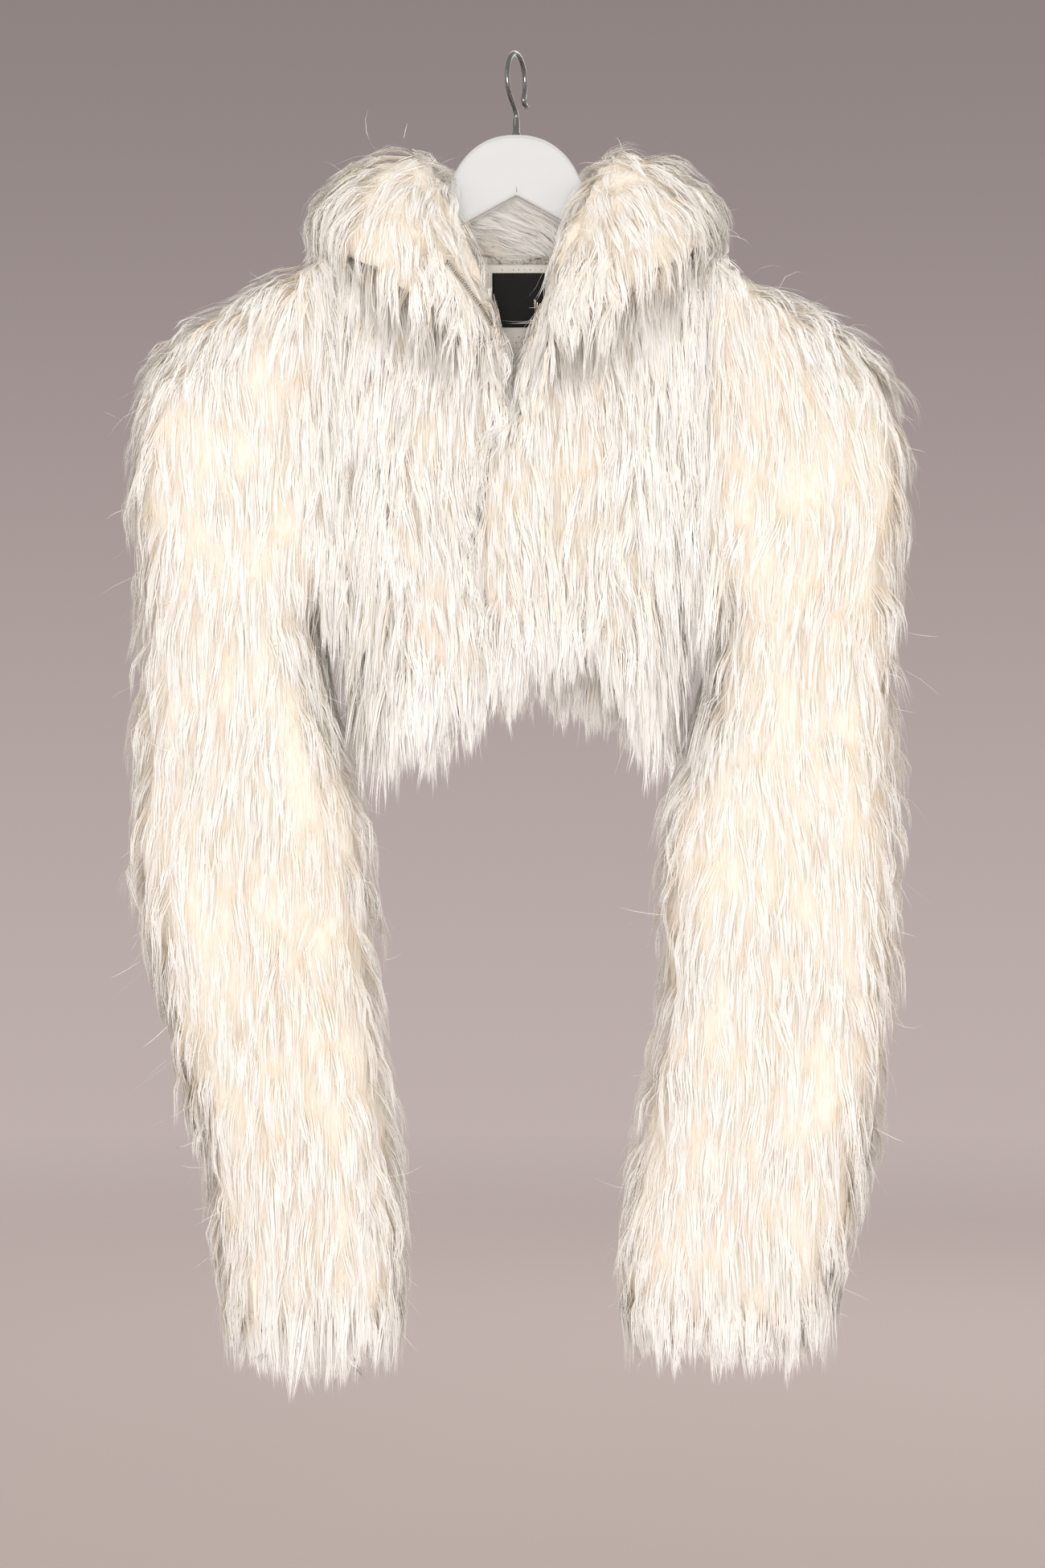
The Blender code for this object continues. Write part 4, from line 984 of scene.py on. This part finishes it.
# ---------------------------------------------------------------------------- zip
TEETH_SIZE = (0.0032, 0.0024, 0.00095)     # across the tape, off it and along it
TOOTH_NOSE, TOOTH_BEVEL = 0.72, 0.00022    # length of its inner end, and its rounding
OPEN_LIFT = 0.0010           # open teeth off their tape
CLOSED_ASIDE, CLOSED_LIFT = 0.0004, 0.0006
CLOSED_TOP_Y, CLOSED_SPARE, CLOSED_STEPS = -0.0176, 0.002, 24
CORE_HALF, CORE_LIFT, CORE_THICKNESS = 0.0013, 0.0013, 0.0003
TAPE_WIDTH, TAPE_THICKNESS = 0.0100, 0.0006
TAPE_PROFILE = ((0.0, 0.0), (0.12, 0.0005), (0.24, 0.0), (0.6, 0.0), (1.0, 0.0))    # share of width, lift
SLIDER_MOUTH = Vector((0.0046, -0.0212, -0.2330))
BESIDE_NOTCH = Vector((0.0090, -0.0370, -0.2270))


def open_edge(side):
    """Points and outward tape directions along the open half of the zip, slider first."""
    work = welded("zip_tape_left_open" if side > 0 else "zip_tape_right_open")
    corners = sorted((vertex.co.copy() for vertex in work.verts), key=lambda point: abs(point.x))
    work.free()
    edge, far = [], []
    for row in range(0, len(corners), 4):
        ranked = sorted(corners[row:row + 4], key=lambda point: point.z)
        edge.append(min(ranked[2:], key=lambda point: point.y))
        far.append(min(ranked[:2], key=lambda point: point.y))
    start = [Vector((ZIP_X + side * place.x, place.y, place.z)) for place in (SLIDER_MOUTH, BESIDE_NOTCH)]
    away = [Vector((side, 0, -0.3)).normalized(), Vector((side * 0.8, 0.3, -0.6)).normalized()]
    away += [(b - a).normalized() for a, b in zip(edge, far)]
    return start + edge, away


def closed_edge():
    """The line of the closed zip, straight down from the slider."""
    low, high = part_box("zip_tape_right_closed")
    shares = [step / CLOSED_STEPS for step in range(CLOSED_STEPS + 1)]
    return [Vector((ZIP_X, CLOSED_TOP_Y + (low.y - CLOSED_TOP_Y) * share,
                    high.z + (low.z + CLOSED_SPARE - high.z) * share)) for share in shares]


def spaced(line, pitch):
    """Places and directions every pitch along a line of points."""
    places, left = [], 0.0
    for first, second in zip(line, line[1:]):
        run = (second - first).length
        ahead = (second - first) / run
        while left < run:
            places.append((first + ahead * left, ahead))
            left += pitch
        left -= run
    return places


def add_tooth(work, place, ahead, outward, rounded):
    """One tooth across the tape's edge: a small block, rounded if it shows."""
    up = ahead.cross(outward).normalized()
    outward = up.cross(ahead).normalized()
    across, rise, along = TEETH_SIZE
    made = bmesh.ops.create_cube(work, size=1.0)["verts"]
    for vertex in made:
        narrow = TOOTH_NOSE if vertex.co.x < 0 else 1.0
        offset = outward * vertex.co.x * across + up * vertex.co.y * rise
        vertex.co = place + offset + ahead * vertex.co.z * along * narrow
    if rounded:
        edges = list(dict.fromkeys(edge for vertex in made for edge in vertex.link_edges))
        bmesh.ops.bevel(work, geom=edges, offset=TOOTH_BEVEL, segments=1, affect="EDGES")


def build_teeth(material, pitch):
    """The teeth of both tapes, in step along the open halves and interlocked below."""
    work = bmesh.new()
    for side in (-1, 1):
        line, away = open_edge(side)
        for place, ahead in spaced(line, pitch):
            nearest = min(range(len(line)), key=lambda index: (line[index] - place).length)
            add_tooth(work, place + Vector((0, -OPEN_LIFT, 0)), ahead, away[nearest], True)
        for place, ahead in spaced(closed_edge(), pitch):
            shift = Vector((side * CLOSED_ASIDE, -CLOSED_LIFT, 0))
            lag = ahead * (pitch / 2 if side > 0 else 0.0)
            add_tooth(work, place + shift + lag, ahead, Vector((side, 0, 0)), False)
    put_work("zip_teeth", work, material)


def build_shaded_core(material):
    """The cord that the open teeth are clamped on, seen between them, darkened as painted shade between the
    teeth.
    """
    work = bmesh.new()
    for side in (-1, 1):
        face_rows(work, [[work.verts.new(place + Vector((0, -CORE_LIFT, 0)) + out * end)
                          for end in (-CORE_HALF, CORE_HALF)]
                         for place, out in list(zip(*open_edge(side)))[1:]])
    thicken(put_work("zip_shade_cord", work, material), CORE_THICKNESS)


def tape_strip(name, line, away, material, node):
    """A woven tape beside a line of teeth, with its cord along the teeth."""
    work = bmesh.new()
    face_rows(work, [[work.verts.new(place + out * TAPE_WIDTH * share - Vector((0, lift, 0)))
                      for share, lift in TAPE_PROFILE] for place, out in zip(line, away)])
    piece = thicken(put_work(name, work, material), TAPE_THICKNESS, 1.0)
    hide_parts(node)
    length = sum((b - a).length for a, b in zip(line, line[1:]))


def build_tapes(material):
    """The open and the closed half of each tape."""
    below = closed_edge()
    for side, word in ((-1, "right"), (1, "left")):
        halves = {"open": open_edge(side), "closed": (below, [Vector((side, 0, 0))] * len(below))}
        for half, (line, away) in halves.items():
            tape_strip(f"zip_tape_{word}_woven_{half}", line, away, material, f"zip_tape_{word}_{half}")


# --------------------------------------------------------------- lining and label
GRID_MARGIN, GRID_SPAN = 0.002, 0.996      # shares of a node that a grid leaves and covers
RIPPLES = (60, 45)                         # to the metre, across and down
LABEL_THICKNESS, LABEL_RADIUS, LINING_THICKNESS = 0.0006, 0.0045, 0.0010
STITCH_PITCH, STITCH_LENGTH, STITCH_RADIUS = 0.0030, 0.0018, 0.00022
STITCH_MARGIN, STITCH_DROP, STITCH_LIFT = 0.002, 0.0014, 0.0001


def face_grid(name, columns, rows, ripple):
    """A grid over a thin node's near face, with the node's own curve and slight ripples."""
    low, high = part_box(name)
    work = welded(name)
    tree = tree_of([work])
    work.free()
    grid = []
    for row in range(rows + 1):
        line = []
        for column in range(columns + 1):
            x = low.x + (high.x - low.x) * (GRID_MARGIN + GRID_SPAN * column / columns)
            z = high.z + (low.z - high.z) * (GRID_MARGIN + GRID_SPAN * row / rows)
            hit = tree.ray_cast(Vector((x, low.y - 0.01, z)), Vector((0, 1, 0)))[0]
            y = hit.y if hit else high.y
            wave = noise.noise(Vector((x * RIPPLES[0], 0, z * RIPPLES[1])))
            line.append(Vector((x, y - ripple * wave, z)))
        grid.append(line)
    return grid


def sheet_from(name, grid, material, thickness, node):
    """A thin sheet over a grid of points, in place of a node."""
    work = bmesh.new()
    face_rows(work, [[work.verts.new(point) for point in line] for line in grid])
    piece = thicken(put_work(name, work, material), thickness, 1.0)
    piece.data.shade_smooth()
    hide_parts(node)


def round_corners(grid, radius):
    """Lower corners of a grid drawn in to a radius."""
    left, right = grid[0][0].x, grid[0][-1].x
    foot = grid[-1][0].z
    for line in grid:
        for point in line:
            beside = radius - min(point.x - left, right - point.x)
            below = radius - (point.z - foot)
            if beside > 0 and below > 0:
                reach = math.hypot(beside, below)
                if reach > radius:
                    side = 1 if point.x - left < right - point.x else -1
                    point.x += side * (beside - beside * radius / reach)
                    point.z += below - below * radius / reach


def build_label(material, thread):
    """The woven label and the row of stitches along its upper end."""
    grid = face_grid("neck_label", 20, 20, 0.0004)
    round_corners(grid, LABEL_RADIUS)
    sheet_from("neck_label_woven", grid, material, LABEL_THICKNESS, "neck_label")
    work = bmesh.new()
    low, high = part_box("neck_label")
    count = int((high.x - low.x - 2 * STITCH_MARGIN) / STITCH_PITCH)
    for number in range(count + 1):
        place = Vector((low.x + STITCH_MARGIN + number * STITCH_PITCH,
                        grid[0][0].y - STITCH_LIFT, high.z - STITCH_DROP))
        made = bmesh.ops.create_uvsphere(work, u_segments=8, v_segments=6, radius=STITCH_RADIUS)["verts"]
        for vertex in made:
            vertex.co.x *= STITCH_LENGTH / 2 / STITCH_RADIUS
            vertex.co += place
    put_work("neck_label_stitches", work, thread)


# ------------------------------------------------------------------------- hanger
HEAD_TOP_Z, HEAD_CURVE = -0.060, (2.3, 0.62)
ARM_START_X, ARM_START_Z = 0.051, -0.107
ARM_SLOPE, VEE_SLOPE = 0.60, 0.55
VEE_APEX_Z = -0.105
HEAD_STEPS, ARM_STEPS, ARM_END_X = 30, 12, 0.208
BLUNT_ENDS = [(0.214, 0.93), (0.219, 0.75), (0.222, 0.40)]     # x, and the share of the arm's height
BOARD_ROUNDING, ROUNDING_STEPS = 0.0018, 4
JOIN_X, JOIN_SIZE, JOIN_RISE, JOIN_TAPER = 0.0004, (0.00045, 0.00012, 0.0045), 0.0042, 0.35
WIRE_RADIUS, HOOK_RADIUS = 0.0019, 0.0195
HOOK_TURN = math.radians(20)
FERRULE_TOP_Z, FERRULE_SIDES = -0.046, 32
HOOK_STEM = [(0.0, FERRULE_TOP_Z + 0.0003), (0.0, -0.0435), (-0.0030, -0.0400)]
HOOK_BEND, HOOK_SWEEP, HOOK_STEPS = 222, 260, 40               # first angle and turn in degrees
HOOK_LIP = [(0.0175, -0.0325), (0.0210, -0.0340), (0.0240, -0.0325)]


def board_top(x):
    """Height of the board's upper edge: a round head, then a straight arm."""
    x = abs(x)
    if x >= ARM_START_X:
        return ARM_START_Z - ARM_SLOPE * (x - ARM_START_X)
    width_power, height_power = HEAD_CURVE
    rise = (1 - (x / ARM_START_X) ** width_power) ** height_power
    return ARM_START_Z + (HEAD_TOP_Z - ARM_START_Z) * rise


def board_bottom(x):
    """Height of its lower edge, which rises to a vee in the middle."""
    return VEE_APEX_Z - VEE_SLOPE * abs(x)


def board_stations():
    """Places across the board, close together where the head turns into an arm."""
    head = [ARM_START_X * math.sin(math.pi / 2 * step / HEAD_STEPS) for step in range(HEAD_STEPS + 1)]
    arm = [ARM_START_X + (ARM_END_X - ARM_START_X) * step / ARM_STEPS for step in range(1, ARM_STEPS + 1)]
    half = head + arm
    return [-x for x in reversed(half)] + half[1:]


def build_board(material, half_thickness):
    """A lofted board with softly rounded edges and blunt ends."""
    work = bmesh.new()
    sections = [(x, 1.0) for x in board_stations()]
    sections = [(-x, size) for x, size in reversed(BLUNT_ENDS)] + sections + BLUNT_ENDS
    rings = []
    for x, size in sections:
        top, bottom = board_top(x), board_bottom(x)
        middle, half_height = (top + bottom) / 2, (top - bottom) / 2 * size
        depth = half_thickness * (0.5 + 0.5 * size)
        ring = []
        for sign_z, sign_y in ((1, 1), (1, -1), (-1, -1), (-1, 1)):
            for step in range(ROUNDING_STEPS + 1):
                turn = math.pi / 2 * step / ROUNDING_STEPS
                turn = turn if sign_z * sign_y < 0 else math.pi / 2 - turn
                radius = min(BOARD_ROUNDING, half_height, depth)
                y = sign_y * (depth - radius + radius * math.cos(turn))
                z = middle + sign_z * (half_height - radius + radius * math.sin(turn))
                ring.append(work.verts.new((x, y, z)))
        rings.append(ring)
    face_rings(work, rings)
    work.faces.new(rings[0])
    work.faces.new(rings[-1])
    bmesh.ops.remove_doubles(work, verts=work.verts, dist=1e-6)
    bmesh.ops.recalc_face_normals(work, faces=work.faces)
    board = put_work("hanger_board_painted", work, material)
    board.data.shade_smooth()
    board.data.set_sharp_from_angle(angle=math.radians(50))
    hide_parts("hanger_board")


def build_join(material, half_thickness):
    """The short open seam above the vee, on both faces of the board."""
    work = bmesh.new()
    for side in (-1, 1):
        made = bmesh.ops.create_cube(work, size=1.0)["verts"]
        for vertex in made:
            taper = JOIN_TAPER if vertex.co.z > 0 else 1.0
            vertex.co = Vector((JOIN_X + vertex.co.x * JOIN_SIZE[0] * taper,
                                side * half_thickness + vertex.co.y * JOIN_SIZE[1],
                                VEE_APEX_Z + JOIN_RISE + vertex.co.z * JOIN_SIZE[2]))
    put_work("hanger_join", work, material)


def build_hook(material):
    """The wire hook: its stem, a smooth bend and a small lip at the end."""
    centre = WIRE_RADIUS - HOOK_RADIUS
    angles = [math.radians(HOOK_BEND - HOOK_SWEEP * step / HOOK_STEPS) for step in range(HOOK_STEPS + 1)]
    bend = [(HOOK_RADIUS * math.cos(angle), centre + HOOK_RADIUS * math.sin(angle)) for angle in angles]
    points = HOOK_STEM + bend + HOOK_LIP
    curve = bpy.data.curves.new("hanger_wire", "CURVE")
    curve.dimensions = "3D"
    curve.bevel_depth = WIRE_RADIUS
    curve.bevel_resolution = 5
    curve.use_fill_caps = True
    spline = curve.splines.new("POLY")
    spline.points.add(len(points) - 1)
    for knot, (along, z) in zip(spline.points, points):
        knot.co = (along * math.sin(HOOK_TURN), along * math.cos(HOOK_TURN), z, 1)
    spline.use_smooth = True
    curve.materials.append(material)
    wire = bpy.data.objects.new("hanger_wire", curve)
    bpy.context.scene.collection.objects.link(wire)
    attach(wire, BODY)
    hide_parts("hanger_hook")


def build_ferrule(material):
    """The turned ring at the foot of the wire, wider at its base."""
    work = bmesh.new()
    low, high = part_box("hanger_ferrule")
    radius = (high.x - low.x) / 2
    profile = [(radius, low.z), (radius, low.z + 0.0016), (radius * 0.84, low.z + 0.0024),
               (radius * 0.78, high.z - 0.0014), (radius * 0.70, high.z)]
    turns = [2 * math.pi * step / FERRULE_SIDES for step in range(FERRULE_SIDES)]
    rings = [[work.verts.new((r * math.cos(turn), r * math.sin(turn), z)) for turn in turns]
             for r, z in profile]
    face_rings(work, rings)
    work.faces.new(rings[0][::-1])
    work.faces.new(rings[-1])
    piece = put_work("hanger_collar_ring", work, material)
    piece.data.shade_smooth()
    piece.data.set_sharp_from_angle(angle=math.radians(40))
    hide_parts("hanger_ferrule")


# -------------------------------------------------------------------------- stage
CAMERA_X, CAMERA_Z, LENS, SENSOR = 0.0048, -0.544, 86.0, 36.0
MIDDLE = Vector((0, 0, -0.50))             # what the softboxes are turned to
SOFTBOXES = (                              # name, place, width, height and share of the power
    ("key_softbox", (-1.5, -2.3, 0.6), 1.8, 1.8, 0.35),
    ("front_softbox", (0.0, -3.0, -0.52), 1.0, 1.0, 1.88),
    ("fill_softbox", (1.9, -2.0, -0.35), 1.6, 1.8, 0.25),
    ("back_softbox", (0.6, 2.2, 0.6), 1.8, 1.6, 0.7),
)
FLOOR_COLOUR, FLOOR_RADIUS = (0.52, 0.438, 0.418), 4.5
ROOM_WARMTH = (1.0, 0.975, 0.94)
BACKDROP_FROM, BACKDROP_TO = -0.14, 0.26   # height of the view's direction, from foot to top


def add_softbox(name, place, width, height, power):
    """A soft white rectangle of light that faces the garment's middle."""
    light = bpy.data.lights.new(name, "AREA")
    light.shape = "RECTANGLE"
    light.size, light.size_y = width, height
    light.energy = power
    item = bpy.data.objects.new(name, light)
    bpy.context.scene.collection.objects.link(item)
    item.location = place
    item.rotation_euler = (MIDDLE - Vector(place)).to_track_quat("-Z", "Y").to_euler()


def add_floor(settings, lowest):
    """A round pale floor that fades into the backdrop at its rim."""
    paint = Paint("pale_floor", FLOOR_COLOUR, 0.9, Specular_IOR_Level=0.1)
    span = paint.add("ShaderNodeVectorMath", {"operation": "LENGTH"}, {0: paint.place()}, out="Value")
    paint.set("Alpha", paint.ramp(1 - span / FLOOR_RADIUS, [(0.0, 0.0), (0.75, 1.0)]))
    work = bmesh.new()
    bmesh.ops.create_circle(work, cap_ends=True, segments=96, radius=FLOOR_RADIUS)
    floor = bpy.data.objects.new("floor", mesh_from(work, "floor"))
    floor.data.materials.append(paint.material)
    floor.location = (0, 0, lowest - settings.floor_drop)
    bpy.context.scene.collection.objects.link(floor)
    floor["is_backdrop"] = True


def add_surround(settings):
    """The taupe that the camera sees, paler below, and the even white light of the room."""
    world = bpy.data.worlds.new("surround")
    bpy.context.scene.world = world
    world.use_nodes = True
    nodes = Nodes(world.node_tree)
    direction = nodes.add("ShaderNodeTexCoord", {}, {}, out="Generated")
    height = nodes.add("ShaderNodeSeparateXYZ", {}, {0: direction}, out="Z")
    rise = nodes.add("ShaderNodeMapRange", {"interpolation_type": "SMOOTHSTEP"},
                     {"Value": height, "From Min": BACKDROP_FROM, "From Max": BACKDROP_TO})
    backdrop = nodes.mix(rise, settings.backdrop_foot, settings.backdrop_top)
    seen = nodes.add("ShaderNodeLightPath", {}, {}, out="Is Camera Ray")
    room = darker(ROOM_WARMTH, settings.ambient)
    background = world.node_tree.nodes["Background"]
    nodes.tree.links.new(nodes.mix(seen, room, backdrop).socket, background.inputs["Color"])


def add_camera(settings):
    """A camera level with the garment, at the angle of the picture."""
    data = bpy.data.cameras.new("front_camera")
    data.sensor_width = SENSOR
    data.lens = LENS
    camera = bpy.data.objects.new("front_camera", data)
    bpy.context.scene.collection.objects.link(camera)
    camera.location = (CAMERA_X, -settings.camera_distance, CAMERA_Z)
    camera.rotation_euler = (math.pi / 2, 0, 0)
    bpy.context.scene.camera = camera


# ---------------------------------------------------------------------- operators
# Locks on the coat, crown, edge and armhole, single strays, and a lock's hairs, points, spread and curl
CASTS = {
    "front_right": Cast(330, 0, 130, 150, 90, 26, 5, 0.0085, 0.0022),
    "front_left": Cast(395, 0, 150, 150, 90, 26, 5, 0.0085, 0.0022),
    "back": Cast(520, 0, 170, 140, 120, 22, 4, 0.0095, 0.0022),
    "sleeve_right": Cast(1190, 110, 150, 150, 560, 24, 4, 0.0090, 0.0024),
    "sleeve_left": Cast(1190, 110, 150, 150, 560, 24, 4, 0.0090, 0.0024),
    "collar": Cast(570, 90, 110, 0, 300, 25, 5, 0.0078, 0.0040),
}


class BOLERO_OT_cloth(bpy.types.Operator):
    """Lay the knitted ground of every panel and sleeve and the wool that stands on it"""
    bl_idname = "bolero.cloth"
    bl_label = "Cloth and underwool"

    def execute(self, context):
        fur, trim = context.scene.bolero_fur, context.scene.bolero_trim
        ground = knit_paint("knit_ground", trim.knit_colour, 0.0022, False)
        wool = underwool_paint(fur)
        for name in FUR_NODES:
            piece = underwool(name, wool, fur, trim.cloth_thickness)
            if name == "collar":
                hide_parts(name)
                continue
            shell = cloth_shell(name, ground, trim)
            if not shell.data.polygons:
                raise RuntimeError(f"{name} has no inner face to lay cloth on")
            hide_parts(name, *LOCK_NODES[name])
        return {"FINISHED"}


def grow(context, names, length, seed):
    """The hair of some fur nodes, each with its own paint."""
    fur = context.scene.bolero_fur
    for name in names:
        tips = fur.collar_colour if name == "collar" else fur.tip_colour
        paint = fur_paint(name + "_pile", tips, fur)
        cast = CASTS[name]
        piece = grow_fur(name + "_fur", name, cast, length, paint, fur, seed)
        seed += 1


class BOLERO_OT_body_fur(bpy.types.Operator):
    """Grow the locks of the fronts and the back"""
    bl_idname = "bolero.body_fur"
    bl_label = "Fur of the body"

    def execute(self, context):
        grow(context, PANELS, context.scene.bolero_fur.lock_length, 11)
        return {"FINISHED"}


class BOLERO_OT_sleeve_fur(bpy.types.Operator):
    """Grow the locks of the two sleeves"""
    bl_idname = "bolero.sleeve_fur"
    bl_label = "Fur of the sleeves"

    def execute(self, context):
        grow(context, SLEEVES, context.scene.bolero_fur.lock_length, 31)
        return {"FINISHED"}


class BOLERO_OT_collar_fur(bpy.types.Operator):
    """Grow the swirling locks of the collar"""
    bl_idname = "bolero.collar_fur"
    bl_label = "Fur of the collar"

    def execute(self, context):
        grow(context, ("collar",), context.scene.bolero_fur.collar_length, 51)
        return {"FINISHED"}


class BOLERO_OT_zip(bpy.types.Operator):
    """Fit the zip's tapes, teeth, slider and pull"""
    bl_idname = "bolero.zip"
    bl_label = "Zip"

    def execute(self, context):
        trim = context.scene.bolero_trim
        build_teeth(metal_paint("zip_metal", trim.metal_colour, 0.20, 500.0), trim.tooth_pitch)
        # Painted shade: the slider and pull in a darkened copy of the teeth's metal, for their place in the
        # fur
        metal = metal_paint("slider_shaded_metal", darker(trim.metal_colour, 0.38), 0.46, 500.0)
        build_tapes(knit_paint("zip_tape_weave", trim.knit_colour, 0.0008, False))
        # Painted shade between the open teeth: the cord in a dark copy of the tape's cream
        build_shaded_core(knit_paint("shade_cord_weave", darker(trim.knit_colour, 0.16), 0.0008, False))
        for name in ("zip_slider", "zip_pull"):
            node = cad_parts[name]
            node.data.materials.clear()
            node.data.materials.append(metal)
        return {"FINISHED"}


class BOLERO_OT_neck(bpy.types.Operator):
    """Lay the perforated lining and the bare black label at the back neck"""
    bl_idname = "bolero.neck"
    bl_label = "Neck lining and label"

    def execute(self, context):
        trim = context.scene.bolero_trim
        lining = knit_paint("perforated_knit", trim.knit_colour, 0.0042, True)
        grid = face_grid("back_neck_lining", 40, 32, 0.0005)
        sheet_from("back_neck_lining_knit", grid, lining, LINING_THICKNESS,
                   "back_neck_lining")
        thread = Paint("black_thread", (0.02, 0.02, 0.02), 0.6).material
        build_label(label_paint(trim.label_colour), thread)
        return {"FINISHED"}


class BOLERO_OT_hanger(bpy.types.Operator):
    """Make the painted board, its ferrule and the wire hook"""
    bl_idname = "bolero.hanger"
    bl_label = "Hanger"

    def execute(self, context):
        low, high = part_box("hanger_board")
        half_thickness = (high.y - low.y) / 2
        build_board(hanger_paint(context.scene.bolero_trim.paint_colour), half_thickness)
        build_join(Paint("seam_shadow", (0.10, 0.07, 0.05), 0.9).material, half_thickness)
        # Painted reflection: a dark base colour for the dark room that the chrome reflects
        chrome = metal_paint("chrome_dark_reflection", (0.20, 0.19, 0.185), 0.12, 300.0)
        build_hook(chrome)
        build_ferrule(chrome)
        return {"FINISHED"}


class BOLERO_OT_stage(bpy.types.Operator):
    """Set the pale floor, the surround, the soft lights and the camera"""
    bl_idname = "bolero.stage"
    bl_label = "Stage"

    def execute(self, context):
        settings = context.scene.bolero_stage
        add_floor(settings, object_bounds()[0].z)
        add_surround(settings)
        for name, place, width, height, share in SOFTBOXES:
            add_softbox(name, place, width, height, settings.key_power * share)
        add_camera(settings)
        context.scene.view_settings.view_transform = "Standard"
        return {"FINISHED"}


class BOLERO_PT_panel(bpy.types.Panel):
    bl_label = "Fur bolero"
    bl_idname = "BOLERO_PT_panel"
    bl_space_type = "VIEW_3D"
    bl_region_type = "UI"
    bl_category = "Bolero"

    def draw(self, context):
        column = self.layout.column(align=True)
        for operator in OPERATORS:
            column.operator(operator.bl_idname)
        for group in (context.scene.bolero_fur, context.scene.bolero_trim, context.scene.bolero_stage):
            box = self.layout.box()
            for key in group.__annotations__:
                box.prop(group, key)


OPERATORS = (
    BOLERO_OT_hanger, BOLERO_OT_cloth, BOLERO_OT_body_fur, BOLERO_OT_sleeve_fur,
    BOLERO_OT_collar_fur, BOLERO_OT_zip, BOLERO_OT_neck, BOLERO_OT_stage,
)
GROUPS = {"bolero_fur": FurSettings, "bolero_trim": TrimSettings, "bolero_stage": StageSettings}
CLASSES = (*GROUPS.values(), *OPERATORS, BOLERO_PT_panel)


def register():
    """Add the operators and panel, and hang the settings on the scene."""
    for item in CLASSES:
        bpy.utils.register_class(item)
    for name, group in GROUPS.items():
        setattr(bpy.types.Scene, name, PointerProperty(type=group))


def unregister():
    """Take away all that register adds."""
    for name in GROUPS:
        delattr(bpy.types.Scene, name)
    for item in reversed(CLASSES):
        bpy.utils.unregister_class(item)


def main():
    """Dress the solids piece by piece."""
    register()
    bpy.ops.bolero.hanger()
    bpy.ops.bolero.cloth()
    bpy.ops.bolero.body_fur()
    bpy.ops.bolero.sleeve_fur()
    bpy.ops.bolero.collar_fur()
    bpy.ops.bolero.zip()
    bpy.ops.bolero.neck()
    bpy.ops.bolero.stage()


if __name__ == "__main__":
    main()
